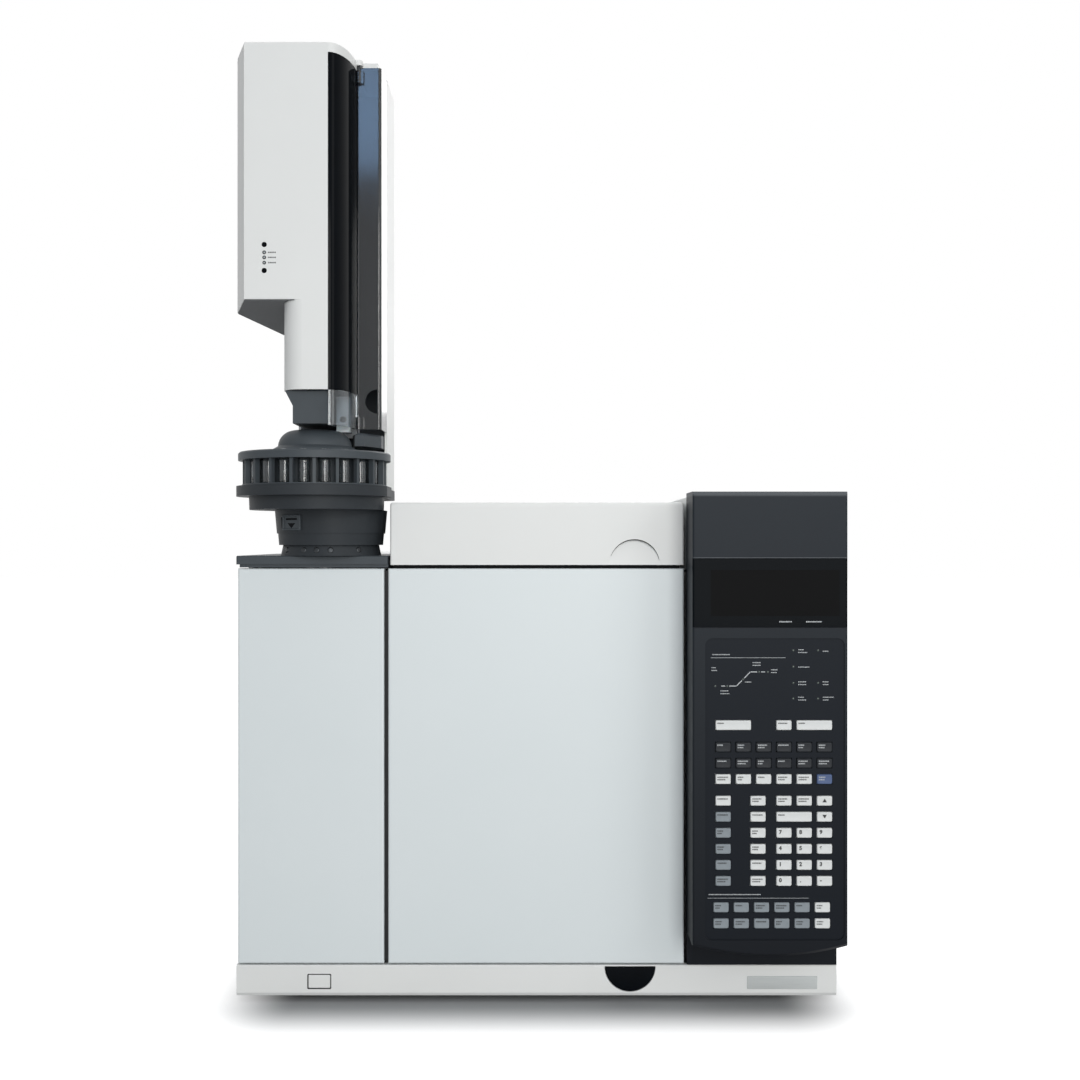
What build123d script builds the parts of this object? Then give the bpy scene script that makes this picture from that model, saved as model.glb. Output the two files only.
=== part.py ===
"""Bench gas chromatograph with a sample injector tower.

Frame: +Z up, -Y is the front, and the origin is on the bench under the middle of the whole
instrument.  All sizes are millimetres.
"""
import os
from math import cos, radians, sin

from build123d import *

os.makedirs("parts", exist_ok=True)

# ---------------------------------------------------------------- driving dimensions
width = 590.0  # mainframe, side to side
depth = 560.0  # front of the vial platform to the rear exhaust hood
console_top = 500.0
tower_top = 930.0
cover_top = 491.0
deck_top = 425.0
deck_sheet = 2.0
base_top = 36.0
foot_height = 6.0
foot_radius = 16.0
sheet = 2.5  # outer sheet-metal covers
liner_sheet = 1.0
seam = 1.5  # gap between a door or cover and its neighbour
fit = 0.05  # radial running clearance of every pin, shaft and rod
console_width = 147.0
console_depth = 48.0  # how far the keypad stands in front of the door
door_thickness = 50.0
hood_depth = 22.0
platform_radius = 76.0
inlet_setback = 69.0  # the needle's axis behind the door front

pitch_radius = platform_radius - 15.0  # vial circle, which passes under the needle
door_setback = platform_radius + pitch_radius - inlet_setback  # platform front to door front
left, right = -width / 2, width / 2
front, back = -depth / 2, depth / 2
door_front = front + door_setback
console_front = door_front - console_depth
console_left = right - console_width
cover_back = back - hood_depth  # outer face of the rear cover
inside_back = cover_back - 2.0
skirt_thickness = 6.0
inside_front = door_front + skirt_thickness


def block(x, y, z, mode=Mode.ADD):
    """Box between two corners, given as (low, high) pairs."""
    centre = ((x[0] + x[1]) / 2, (y[0] + y[1]) / 2, (z[0] + z[1]) / 2)
    with Locations(centre):
        Box(x[1] - x[0], y[1] - y[0], z[1] - z[0], mode=mode)


def finish(part, name):
    """Label a finished piece and write it."""
    part.part.label = name
    export_step(part.part, f"parts/{name}.step")


# ---------------------------------------------------------------- feet and base
foot_inset = 40.0
foot_places = [
    (x, y)
    for x in (left + foot_inset, right - foot_inset)
    for y in (door_front + foot_inset, cover_back - foot_inset)
]
with BuildPart() as rubber_feet:
    with BuildSketch(Plane.XY.offset(foot_height)):
        with Locations(*foot_places):
            Circle(foot_radius)
    extrude(amount=-foot_height, taper=12)
finish(rubber_feet, "rubber_feet")

oven_floor_z = 42.0  # underside of the oven insulation
rib_width = 30.0
oven_left = left + 9.0
oven_right = console_left - 36.0
oven_front = door_front + 52.0
oven_wall = 44.0
oven_depth = 165.0  # cavity
cavity_left, cavity_right = oven_left + oven_wall, oven_right - oven_wall
cavity_back = oven_front + oven_depth
oven_back = cavity_back + 40.0
cavity_floor, cavity_roof = 80.0, 360.0
oven_top = 398.0
oven_x = (cavity_left + cavity_right) / 2
oven_z = (cavity_floor + cavity_roof) / 2

latch_x = oven_right - 20.0
latch_radius = 24.6
latch_clearance = 0.6
latch_top = base_top - 1.0
latch_back = 2.9  # back of the paddle behind the door plane
latch_stem_z = latch_top - 11.0
button_x, button_z = left + 81.5, 20.0
button_width, button_height = 21.5, 13.0
button_clearance = 0.5
button_back = 3.5
stem_radius = 3.0
stem_length = 9.0
skirt_wall = 3.0

with BuildPart() as base_tray:
    block((left, right), (inside_front, cover_back), (foot_height, base_top))
    block(
        (left + sheet, right - sheet),
        (inside_front + sheet, cover_back - sheet),
        (foot_height + 2, base_top),
        Mode.SUBTRACT,
    )
    for rib_y in (oven_front + 25, oven_back - 25):
        block(
            (oven_left, oven_right),
            (rib_y - rib_width / 2, rib_y + rib_width / 2),
            (foot_height + 1, oven_floor_z),
        )
        block(
            (oven_left - 1, oven_right + 1),
            (rib_y - rib_width / 2 + sheet, rib_y + rib_width / 2 - sheet),
            (foot_height + 2, oven_floor_z - 2),
            Mode.SUBTRACT,
        )
    with BuildSketch(Plane.XZ.offset(-inside_front)):
        with Locations((latch_x, latch_stem_z), (button_x, button_z)):
            Circle(stem_radius + fit)
    extrude(amount=-sheet, mode=Mode.SUBTRACT)
finish(base_tray, "base_tray")

with BuildPart() as front_skirt:
    with BuildSketch(Plane.YZ.offset(left)):
        with BuildLine():
            Polyline(
                (inside_front, foot_height),
                (door_front + 1.5, foot_height),
                (door_front, foot_height + 3),
                (door_front, base_top - 1),
                (door_front + 1, base_top),
                (inside_front, base_top),
                close=True,
            )
        make_face()
    extrude(amount=width)
    block(
        (left + skirt_wall, right - skirt_wall),
        (door_front + skirt_wall, inside_front),
        (foot_height + skirt_wall, base_top - skirt_wall),
        Mode.SUBTRACT,
    )
    with BuildSketch(Plane.XZ.offset(-inside_front)):
        with Locations((latch_x, latch_top)):
            Circle(latch_radius + latch_clearance)
        with Locations((latch_x, latch_top + latch_radius)):
            Rectangle(4 * latch_radius, 2 * latch_radius, mode=Mode.SUBTRACT)
        with Locations((button_x, button_z)):
            Rectangle(button_width + 2 * button_clearance, button_height + 2 * button_clearance)
    extrude(amount=skirt_thickness + 1, mode=Mode.SUBTRACT)
finish(front_skirt, "front_skirt")

# The latch paddle and the power button slide straight in: each fills its hole in the skirt and
# runs on a stem through the tray's front wall.
with BuildPart() as latch_paddle:
    with BuildSketch(Plane.XZ.offset(-(door_front + latch_back))):
        with Locations((latch_x, latch_top)):
            Circle(latch_radius)
        with Locations((latch_x, latch_top + latch_radius)):
            Rectangle(4 * latch_radius, 2 * latch_radius, mode=Mode.SUBTRACT)
    extrude(amount=latch_back - 0.4)
    with BuildSketch(Plane.XZ.offset(-(inside_front + stem_length))):
        with Locations((latch_x, latch_stem_z)):
            Circle(stem_radius)
    extrude(amount=inside_front + stem_length - door_front - latch_back)
finish(latch_paddle, "latch_paddle")

with BuildPart() as power_button:
    with BuildSketch(Plane.XZ.offset(-(door_front + button_back))):
        with Locations((button_x, button_z)):
            RectangleRounded(button_width, button_height, 1.2)
    extrude(amount=button_back + 0.5)
    chamfer(power_button.faces().sort_by(Axis.Y)[0].edges(), 0.7)
    with BuildSketch(Plane.XZ.offset(-(inside_front + stem_length))):
        with Locations((button_x, button_z)):
            Circle(stem_radius)
    extrude(amount=inside_front + stem_length - door_front - button_back)
finish(power_button, "power_button")

# ---------------------------------------------------------------- frame and covers
bulkhead_x = console_left - 4.0  # right face of the wall beside the oven
door_right = console_left - 3.0
jamb_y = door_front + 52.0
deck_left = left + sheet
hinge_x, hinge_y = left + 9.0, door_front + 44.0
cover_front_y = door_front + 54.5

inlet_x = left + platform_radius
turret_y = front + platform_radius
needle_y = turret_y + pitch_radius
inlet_places = [(inlet_x, needle_y), (inlet_x, needle_y + 90.0)]
inlet_flange_radius = 20.0
detector_x = oven_x + 27.0
detector_places = [(detector_x, needle_y + 1.0), (detector_x, needle_y + 93.0)]
detector_radius = 17.0
port_clearance = 1.0

with BuildPart() as bulkhead:
    block((bulkhead_x - 2, bulkhead_x), (jamb_y, inside_back), (base_top, deck_top - deck_sheet))
    block((bulkhead_x, console_left + 2), (jamb_y, jamb_y + 2), (base_top, deck_top - deck_sheet))
    block(
        (console_left, console_left + 2),
        (inside_front, jamb_y),
        (base_top, deck_top - deck_sheet),
    )
    with BuildSketch(Plane.YZ.offset(bulkhead_x - 3)):
        with GridLocations(60, 90, 2, 2):
            with Locations((cavity_back + 60, oven_z)):
                Rectangle(40, 12)
    extrude(amount=4, mode=Mode.SUBTRACT)
finish(bulkhead, "bulkhead")

with BuildPart() as top_deck:
    block(
        (deck_left, right - sheet),
        (cover_front_y + 2, inside_back),
        (deck_top - deck_sheet, deck_top),
    )
    with BuildSketch(Plane.XY.offset(deck_top)):
        with Locations(*inlet_places):
            Circle(inlet_flange_radius - 4)
        with Locations(*detector_places):
            Circle(detector_radius - 3)
    extrude(amount=-deck_sheet, mode=Mode.SUBTRACT)
finish(top_deck, "top_deck")

flange_width = 14.0
tray_bottom = deck_top + 2.0
with BuildPart() as left_cover:
    block((left, left + sheet), (cover_front_y, inside_back), (base_top, tray_bottom))
    block((left, left + flange_width), (cover_front_y, inside_back), (deck_top, tray_bottom))
    block(
        (left, left + 6.0), (cover_front_y, cover_front_y + 1.5), (base_top + 4, deck_top - 4)
    )
    fillet(left_cover.edges().filter_by(Axis.Y).sort_by(Axis.X)[:1], 1.2)
finish(left_cover, "left_cover")

right_cover_top = console_top - 3.0
with BuildPart() as right_cover:
    with BuildSketch(Plane.XZ.offset(-inside_back)):
        with BuildLine():
            Polyline(
                (right, base_top),
                (right, right_cover_top),
                (console_left, right_cover_top),
                (console_left, deck_top),
                (console_left + sheet, deck_top),
                (console_left + sheet, right_cover_top - sheet),
                (right - sheet, right_cover_top - sheet),
                (right - sheet, base_top),
                close=True,
            )
        make_face()
    extrude(amount=inside_back - inside_front)
    fillet(right_cover.edges().filter_by(Axis.Y).group_by(Axis.Z)[-1], 2.0)
    with BuildSketch(Plane.YZ.offset(right - 2 * sheet)):
        with Locations((inside_back - 90, 130)):
            with GridLocations(14, 1, 9, 1):
                Rectangle(5, 90)
    extrude(amount=3 * sheet, mode=Mode.SUBTRACT)
finish(right_cover, "right_cover")

# ---------------------------------------------------------------- oven
duct_width, duct_height, duct_wall = 80.0, 60.0, 1.5
duct_x = oven_x - 73.0
duct_z = oven_z + 90.0
duct_gap = 0.5
fan_shaft_radius = 4.0
shaft_hole_radius = 12.0
inlet_stem_radius = 9.0
detector_stem_radius = 11.0

with BuildPart() as oven_insulation:
    block((oven_left, oven_right), (oven_front, oven_back), (oven_floor_z, oven_top))
    fillet(oven_insulation.edges().filter_by(Axis.Y), 6.0)
    block(
        (cavity_left, cavity_right),
        (oven_front, cavity_back),
        (cavity_floor, cavity_roof),
        Mode.SUBTRACT,
    )
    with BuildSketch(Plane.XZ.offset(-oven_back)):
        with Locations((duct_x, duct_z)):
            Rectangle(duct_width + 2 * duct_gap, duct_height + 2 * duct_gap)
        with Locations((oven_x, oven_z)):
            Circle(shaft_hole_radius)
    extrude(amount=oven_back - cavity_back, mode=Mode.SUBTRACT)
    with BuildSketch(Plane.XY.offset(oven_top)):
        with Locations(*inlet_places):
            Circle(inlet_stem_radius + port_clearance)
        with Locations(*detector_places):
            Circle(detector_stem_radius + port_clearance)
    extrude(amount=cavity_roof - oven_top, mode=Mode.SUBTRACT)
finish(oven_insulation, "oven_insulation")

liner_flange = 10.0
with BuildPart() as oven_liner:
    block(
        (cavity_left, cavity_right),
        (oven_front, cavity_back),
        (cavity_floor, cavity_roof),
    )
    block(
        (cavity_left - liner_flange, cavity_right + liner_flange),
        (oven_front - liner_sheet, oven_front),
        (cavity_floor - liner_flange, cavity_roof + liner_flange),
    )
    block(
        (cavity_left + liner_sheet, cavity_right - liner_sheet),
        (oven_front - liner_sheet, cavity_back - liner_sheet),
        (cavity_floor + liner_sheet, cavity_roof - liner_sheet),
        Mode.SUBTRACT,
    )
    with BuildSketch(Plane.XZ.offset(-cavity_back)):
        with Locations((duct_x, duct_z)):
            Rectangle(duct_width + 2 * duct_gap, duct_height + 2 * duct_gap)
        with Locations((oven_x, oven_z)):
            Circle(shaft_hole_radius)
    extrude(amount=liner_sheet, mode=Mode.SUBTRACT)
    with BuildSketch(Plane.XY.offset(cavity_roof)):
        with Locations(*inlet_places):
            Circle(inlet_stem_radius + port_clearance)
        with Locations(*detector_places):
            Circle(detector_stem_radius + port_clearance)
    extrude(amount=-liner_sheet, mode=Mode.SUBTRACT)
finish(oven_liner, "oven_liner")

# The shroud is a pan with a ring guard in front of the fan; hot air leaves it all round the rim.
shroud_margin = 14.0
shroud_front = cavity_back - 31.0
shroud_sheet = 1.0
guard_radius = 68.0
guard_pitch = 15.0
guard_bar = 3.0
shroud_foot = 18.0
with BuildPart() as fan_shroud:
    with BuildSketch(Plane.XZ.offset(-shroud_front)):
        with Locations((oven_x, oven_z)):
            Rectangle(
                cavity_right - cavity_left - 2 * shroud_margin,
                cavity_roof - cavity_floor - 2 * shroud_margin,
            )
            Circle(guard_radius, mode=Mode.SUBTRACT)
            for ring in range(1, 5):
                Circle(ring * guard_pitch)
                Circle(ring * guard_pitch - guard_bar, mode=Mode.SUBTRACT)
            with PolarLocations(guard_radius / 2 + 1, 6):
                Rectangle(guard_radius, guard_bar)
    extrude(amount=shroud_sheet)
    for foot_x in (cavity_left + shroud_margin, cavity_right - shroud_margin - shroud_foot):
        for foot_z in (cavity_floor + shroud_margin, cavity_roof - shroud_margin - shroud_foot):
            block(
                (foot_x, foot_x + shroud_foot),
                (shroud_front - shroud_sheet, cavity_back - liner_sheet),
                (foot_z, foot_z + shroud_sheet),
            )
finish(fan_shroud, "fan_shroud")

heater_radius = 92.0
heater_section = (2.5, 6.0)
post_radius = 3.5
heater_y = shroud_front + 10.0
with BuildPart() as heater_coil:
    for radius in (heater_radius, heater_radius + 8.0):
        with BuildSketch(Plane.XZ.offset(-heater_y)):
            with Locations((oven_x, oven_z)):
                Circle(radius)
                Circle(radius - heater_section[0], mode=Mode.SUBTRACT)
        extrude(amount=-heater_section[1])
    with BuildSketch(Plane.XZ.offset(-shroud_front)):
        with Locations((oven_x, oven_z)):
            with PolarLocations(heater_radius + 2.8, 4, start_angle=45):
                Rectangle(16, 2 * post_radius)
    extrude(amount=-(heater_y - shroud_front + heater_section[1]))
finish(heater_coil, "heater_coil")

fan_radius = 72.0
fan_front = shroud_front + 9.0
fan_plate = 1.5
blade_height = 12.0
blade_count = 8
motor_front = oven_back + 6.0
motor_length = 58.0
motor_radius = 34.0
with BuildPart() as oven_fan:
    with BuildSketch(Plane.XZ.offset(-(fan_front + blade_height + fan_plate))):
        with Locations((oven_x, oven_z)):
            Circle(fan_radius)
    extrude(amount=fan_plate)
    with BuildSketch(Plane.XZ.offset(-(fan_front + blade_height + fan_plate))):
        with Locations((oven_x, oven_z)):
            Circle(11)
    extrude(amount=fan_plate + blade_height)
    with BuildSketch(Plane.XZ.offset(-(fan_front + blade_height))):
        with Locations((oven_x, oven_z)):
            with PolarLocations(46, blade_count):
                Rectangle(40, 1.5, rotation=28)
    extrude(amount=blade_height)
    with BuildSketch(Plane.XZ.offset(-(motor_front + 12))):
        with Locations((oven_x, oven_z)):
            Circle(fan_shaft_radius)
    extrude(amount=motor_front + 12 - fan_front - blade_height)
finish(oven_fan, "oven_fan")

with BuildPart() as fan_motor:
    with BuildSketch(Plane.XZ.offset(-motor_front)):
        with Locations((oven_x, oven_z)):
            Circle(motor_radius)
    extrude(amount=-motor_length)
    with BuildSketch(Plane.XZ.offset(-motor_front)):
        with Locations((oven_x, oven_z)):
            Circle(16)
    extrude(amount=4)
    chamfer(fan_motor.faces().sort_by(Axis.Y)[-1].edges(), 3.0)
    with BuildSketch(Plane.XZ.offset(-motor_front)):
        with Locations((oven_x, oven_z)):
            Rectangle(96, 40)
    extrude(amount=-2.5)
    for leg_x in (oven_x - 44, oven_x + 34):
        block((leg_x, leg_x + 10), (oven_back, motor_front), (oven_z - 14, oven_z + 14))
    with BuildSketch(Plane.XZ.offset(-(motor_front - 4))):
        with Locations((oven_x, oven_z)):
            Circle(fan_shaft_radius + fit)
    extrude(amount=-17, mode=Mode.SUBTRACT)
finish(fan_motor, "fan_motor")

with BuildPart() as vent_duct:
    with BuildSketch(Plane.XZ.offset(-(cavity_back - liner_sheet))):
        with Locations((duct_x, duct_z)):
            Rectangle(duct_width, duct_height)
            Rectangle(
                duct_width - 2 * duct_wall, duct_height - 2 * duct_wall, mode=Mode.SUBTRACT
            )
    extrude(amount=-(inside_back - cavity_back + liner_sheet))
    with BuildSketch(Plane.XZ.offset(-inside_back)):
        with Locations((duct_x, duct_z)):
            Rectangle(duct_width + 20, duct_height + 20)
            Rectangle(
                duct_width - 2 * duct_wall, duct_height - 2 * duct_wall, mode=Mode.SUBTRACT
            )
    extrude(amount=duct_wall)
finish(vent_duct, "vent_duct")

# ---------------------------------------------------------------- inlets, detectors, column
nut_top = deck_top + 21.0
with BuildPart() as inlets:
    for place_x, place_y in inlet_places:
        with BuildSketch(Plane(origin=(place_x, place_y, 0), x_dir=(1, 0, 0), z_dir=(0, -1, 0))):
            with BuildLine():
                Polyline(
                    (0, cavity_roof - 24),
                    (4, cavity_roof - 24),
                    (4, cavity_roof - 8),
                    (inlet_stem_radius, cavity_roof - 8),
                    (inlet_stem_radius, deck_top),
                    (inlet_flange_radius, deck_top),
                    (inlet_flange_radius, deck_top + 5),
                    (12, deck_top + 5),
                    (12, nut_top - 2),
                    (9, nut_top),
                    (3, nut_top),
                    (0, nut_top - 6),
                    close=True,
                )
            make_face()
        revolve(axis=Axis((place_x, place_y, 0), (0, 0, 1)))
finish(inlets, "inlets")

with BuildPart() as detectors:
    for place_x, place_y in detector_places:
        with BuildSketch(Plane(origin=(place_x, place_y, 0), x_dir=(1, 0, 0), z_dir=(0, -1, 0))):
            with BuildLine():
                Polyline(
                    (0, cavity_roof - 18),
                    (4, cavity_roof - 18),
                    (detector_stem_radius, cavity_roof - 6),
                    (detector_stem_radius, deck_top),
                    (detector_radius, deck_top),
                    (detector_radius, deck_top + 26),
                    (11, deck_top + 31),
                    (11, deck_top + 46),
                    (8, deck_top + 46),
                    (8, deck_top + 55),
                    (5, deck_top + 55),
                    (5, deck_top + 42),
                    (0, deck_top + 42),
                    close=True,
                )
            make_face()
        revolve(axis=Axis((place_x, place_y, 0), (0, 0, 1)))
finish(detectors, "detectors")

cage_radius = 90.0
cage_rod = 2.5
cage_front = oven_front + 58.0
cage_depth = 24.0
coil_radius = 84.0
coil_band = 3.0
with BuildPart() as column_cage:
    for ring_y in (cage_front, cage_front + cage_depth - cage_rod):
        with BuildSketch(Plane.XZ.offset(-ring_y)):
            with Locations((oven_x, oven_z)):
                Circle(cage_radius)
                Circle(cage_radius - cage_rod, mode=Mode.SUBTRACT)
        extrude(amount=-cage_rod)
    with BuildSketch(Plane.XZ.offset(-cage_front)):
        with Locations((oven_x, oven_z)):
            with PolarLocations(cage_radius - cage_rod / 2, 4, start_angle=90):
                Rectangle(cage_rod, 8)
            with PolarLocations(coil_radius - coil_band - 0.3 - cage_rod / 2, 4, start_angle=90):
                Rectangle(cage_rod, 8)
    extrude(amount=-cage_depth)
    with BuildSketch(Plane.XZ.offset(-cage_front)):
        with Locations((oven_x, oven_z)):
            with PolarLocations(coil_radius - 0.5, 4, start_angle=90):
                Rectangle(cage_radius - coil_radius + coil_band + 6, 8)
    extrude(amount=-cage_rod)
    block(
        (oven_x - 12, oven_x + 12),
        (cage_front, cage_front + 1.5),
        (oven_z + cage_radius - 2, cavity_roof - liner_sheet),
    )
    block(
        (oven_x - 12, oven_x + 12),
        (cage_front, cage_front + cage_depth),
        (cavity_roof - liner_sheet - 1.5, cavity_roof - liner_sheet),
    )
finish(column_cage, "column_cage")

with BuildPart() as column_coil:
    with BuildSketch(Plane.XZ.offset(-(cage_front + cage_rod + 0.3))):
        with Locations((oven_x, oven_z)):
            Circle(coil_radius)
            Circle(coil_radius - coil_band, mode=Mode.SUBTRACT)
    extrude(amount=-(cage_depth - 2 * cage_rod - 0.6))
finish(column_coil, "column_coil")

# ---------------------------------------------------------------- rear and top covers
cover_left, cover_right = inlet_x + 75.0, console_left - 3.0
cover_bottom = deck_top + 4.5
cover_hinge_y, cover_hinge_z = door_front + 264.0, cover_top - 7.0
rear_top_front = cover_hinge_y + 10.0
ear_radius, ear_drop = 4.3, 18.0  # ears that carry the detector cover's pins
tray_top = deck_top + 13.5
tray_right = cover_left - 2.0
tray_back = door_front + 192.0
pin_radius = 3.0

with BuildPart() as rear_top_cover:
    with BuildSketch(Plane.XZ.offset(-inside_back)):
        with BuildLine():
            Polyline(
                (cover_left, tray_bottom - 2),
                (cover_left, cover_top),
                (cover_right, cover_top),
                (cover_right, deck_top),
                (cover_right - sheet, deck_top),
                (cover_right - sheet, cover_top - sheet),
                (cover_left + sheet, cover_top - sheet),
                (cover_left + sheet, tray_bottom - 2),
                close=True,
            )
        make_face()
    extrude(amount=inside_back - rear_top_front)
    block((cover_left, cover_right), (rear_top_front, rear_top_front + sheet), (deck_top, cover_top))
    block(
        (left, cover_left),
        (tray_back + seam, inside_back),
        (tray_bottom, tray_top),
    )
    block(
        (left + sheet, cover_left),
        (tray_back + seam + sheet, inside_back),
        (tray_bottom, tray_top - sheet),
        Mode.SUBTRACT,
    )
    for ear_x in (cover_left + sheet + 1.5, cover_right - sheet - 5.5):
        with BuildSketch(Plane.YZ.offset(ear_x)):
            with Locations((cover_hinge_y, cover_hinge_z)):
                Circle(ear_radius)
            with Locations((cover_hinge_y, cover_hinge_z - ear_drop / 2)):
                Rectangle(2 * ear_radius, ear_drop)
            with Locations(((cover_hinge_y + rear_top_front) / 2, cover_hinge_z - ear_drop + 3)):
                Rectangle(rear_top_front - cover_hinge_y, 6)
        extrude(amount=4)
    with BuildSketch(Plane.YZ.offset(cover_left)):
        with Locations((cover_hinge_y, cover_hinge_z)):
            Circle(pin_radius + fit)
    extrude(amount=cover_right - cover_left, mode=Mode.SUBTRACT)
finish(rear_top_cover, "rear_top_cover")

flap_x, flap_z = duct_x, duct_z
flap_width, flap_height = duct_width - 2 * duct_wall - 4, duct_height - 2 * duct_wall - 3
flap_hinge_z = duct_z + duct_height / 2 - duct_wall - 4.0
flap_hinge_y = cover_back + 5.0
flap_pin_radius = 1.5
fitting_places = [(left + 45 + 22 * i, deck_top - 40) for i in range(5)]
socket_x, socket_z = console_left + 78.0, 120.0

with BuildPart() as rear_cover:
    with BuildSketch(Plane.XZ.offset(-cover_back)):
        with BuildLine():
            Polyline(
                (left, base_top),
                (right, base_top),
                (right, right_cover_top),
                (console_left, right_cover_top),
                (console_left, cover_top),
                (cover_left, cover_top),
                (cover_left, tray_top),
                (left, tray_top),
                close=True,
            )
        make_face()
        with Locations((duct_x, duct_z)):
            Rectangle(
                duct_width - 2 * duct_wall, duct_height - 2 * duct_wall, mode=Mode.SUBTRACT
            )
        with Locations(*fitting_places):
            Circle(5.0, mode=Mode.SUBTRACT)
        with Locations((socket_x, socket_z)):
            Rectangle(90, 130, mode=Mode.SUBTRACT)
        with Locations((oven_x + 60, 250)):
            with GridLocations(1, 12, 1, 12):
                Rectangle(110, 5, mode=Mode.SUBTRACT)
    extrude(amount=cover_back - inside_back)
    # hood round the exhaust: two cheeks that carry the flap's pin, and a sloping roof
    for cheek_x in (duct_x - duct_width / 2 - 3, duct_x + duct_width / 2 + 1):
        with BuildSketch(Plane.YZ.offset(cheek_x)):
            with BuildLine():
                Polyline(
                    (cover_back, duct_z - duct_height / 2),
                    (cover_back, duct_z + duct_height / 2 + 12),
                    (back, duct_z + duct_height / 2 + 2),
                    (back, duct_z + duct_height / 2 - 12),
                    (cover_back + 8, duct_z - duct_height / 2),
                    close=True,
                )
            make_face()
            with Locations((flap_hinge_y, flap_hinge_z)):
                Circle(flap_pin_radius + fit, mode=Mode.SUBTRACT)
        extrude(amount=2)
    with BuildSketch(Plane.YZ.offset(duct_x - duct_width / 2 - 3)):
        with BuildLine():
            Polyline(
                (cover_back, duct_z + duct_height / 2 + 12),
                (back, duct_z + duct_height / 2 + 2),
                (back, duct_z + duct_height / 2),
                (cover_back, duct_z + duct_height / 2 + 10),
                close=True,
            )
        make_face()
    extrude(amount=duct_width + 6)
finish(rear_cover, "rear_cover")

with BuildPart() as exhaust_flap:
    with BuildSketch(Plane.YZ.offset(flap_x - flap_width / 2)):
        with Locations((flap_hinge_y, flap_hinge_z)):
            Circle(3.0)
        with Locations((flap_hinge_y - 2.25, flap_hinge_z - flap_height / 2 + 2)):
            Rectangle(1.5, flap_height)
    extrude(amount=flap_width)
    with BuildSketch(Plane.YZ.offset(duct_x - duct_width / 2 - 3)):
        with Locations((flap_hinge_y, flap_hinge_z)):
            Circle(flap_pin_radius)
    extrude(amount=duct_width + 6)
finish(exhaust_flap, "exhaust_flap")

with BuildPart() as gas_fittings:
    with BuildSketch(Plane.XZ.offset(-cover_back)):
        with Locations(*fitting_places):
            RegularPolygon(7.5, 6)
    extrude(amount=-7)
    with BuildSketch(Plane.XZ.offset(-(inside_back - 14))):
        with Locations(*fitting_places):
            Circle(4.6)
    extrude(amount=-32)
    with BuildSketch(Plane.XZ.offset(-(inside_back - 8))):
        with Locations(*fitting_places):
            RegularPolygon(7.0, 6)
    extrude(amount=-8)
finish(gas_fittings, "gas_fittings")

with BuildPart() as rear_sockets:
    with BuildSketch(Plane.XZ.offset(-inside_back)):
        with Locations((socket_x, socket_z)):
            Rectangle(104, 144)
    extrude(amount=2)
    with BuildSketch(Plane.XZ.offset(-inside_back)):
        with Locations((socket_x - 20, socket_z - 40)):
            RectangleRounded(30, 26, 3)
        with Locations((socket_x - 20, socket_z + 4)):
            RectangleRounded(17, 15, 1)
        with Locations((socket_x - 20, socket_z + 38)):
            RectangleRounded(32, 11, 2)
        with Locations((socket_x + 22, socket_z + 38)):
            RectangleRounded(32, 11, 2)
        with Locations((socket_x + 22, socket_z + 8)):
            RectangleRounded(22, 11, 2)
    extrude(amount=-6)
    with BuildSketch(Plane.XZ.offset(-(inside_back + 6))):
        with Locations((socket_x - 20, socket_z - 40)):
            RectangleRounded(24, 17, 2)
        with Locations((socket_x - 20, socket_z + 4)):
            Rectangle(12, 9)
    extrude(amount=5, mode=Mode.SUBTRACT)
finish(rear_sockets, "rear_sockets")

# ---------------------------------------------------------------- electronics bay
board_x = bulkhead_x + 10.0
with BuildPart() as main_board:
    block((board_x, board_x + 1.6), (jamb_y + 30, inside_back - 30), (120, deck_top - 25))
    for stud_y in (jamb_y + 45, inside_back - 45):
        for stud_z in (135, deck_top - 40):
            block((bulkhead_x, board_x), (stud_y - 4, stud_y + 4), (stud_z - 4, stud_z + 4))
    for chip_y, chip_z, chip_size in (
        (-60, 200, 28),
        (0, 260, 34),
        (70, 180, 24),
        (120, 300, 20),
        (-80, 330, 24),
    ):
        block(
            (board_x + 1.6, board_x + 5),
            (chip_y - chip_size / 2, chip_y + chip_size / 2),
            (chip_z - chip_size / 2, chip_z + chip_size / 2),
        )
    for plug_z in (160, 230, 350):
        block((board_x + 1.6, board_x + 12), (inside_back - 60, inside_back - 50), (plug_z, plug_z + 40))
finish(main_board, "main_board")

with BuildPart() as power_supply:
    block(
        (console_left + 40, right - 12),
        (inside_front + 120, inside_back - 150),
        (foot_height + 2, 110),
    )
    chamfer(power_supply.edges().filter_by(Axis.Y).group_by(Axis.Z)[-1], 3.0)
    with BuildSketch(Plane.XY.offset(110)):
        with Locations((console_left + 88, (inside_front + inside_back) / 2 - 15)):
            with GridLocations(12, 1, 5, 1):
                SlotOverall(60, 5, rotation=90)
    extrude(amount=-2, mode=Mode.SUBTRACT)
finish(power_supply, "power_supply")

module_width, module_pitch = 38.0, 44.0
module_front = rear_top_front + 40.0
with BuildPart() as flow_modules:
    with BuildSketch(Plane.XY.offset(deck_top)):
        with Locations((cover_left + 90, module_front + 55)):
            with GridLocations(module_pitch, 1, 3, 1):
                RectangleRounded(module_width, 100, 3)
    extrude(amount=34)
    with BuildSketch(Plane.XY.offset(deck_top + 34)):
        with Locations((cover_left + 90, module_front + 25)):
            with GridLocations(module_pitch, 1, 3, 1):
                RegularPolygon(7, 6)
        with Locations((cover_left + 90, module_front + 70)):
            with GridLocations(module_pitch, 1, 3, 1):
                Rectangle(24, 36)
    extrude(amount=12)
finish(flow_modules, "flow_modules")

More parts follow.
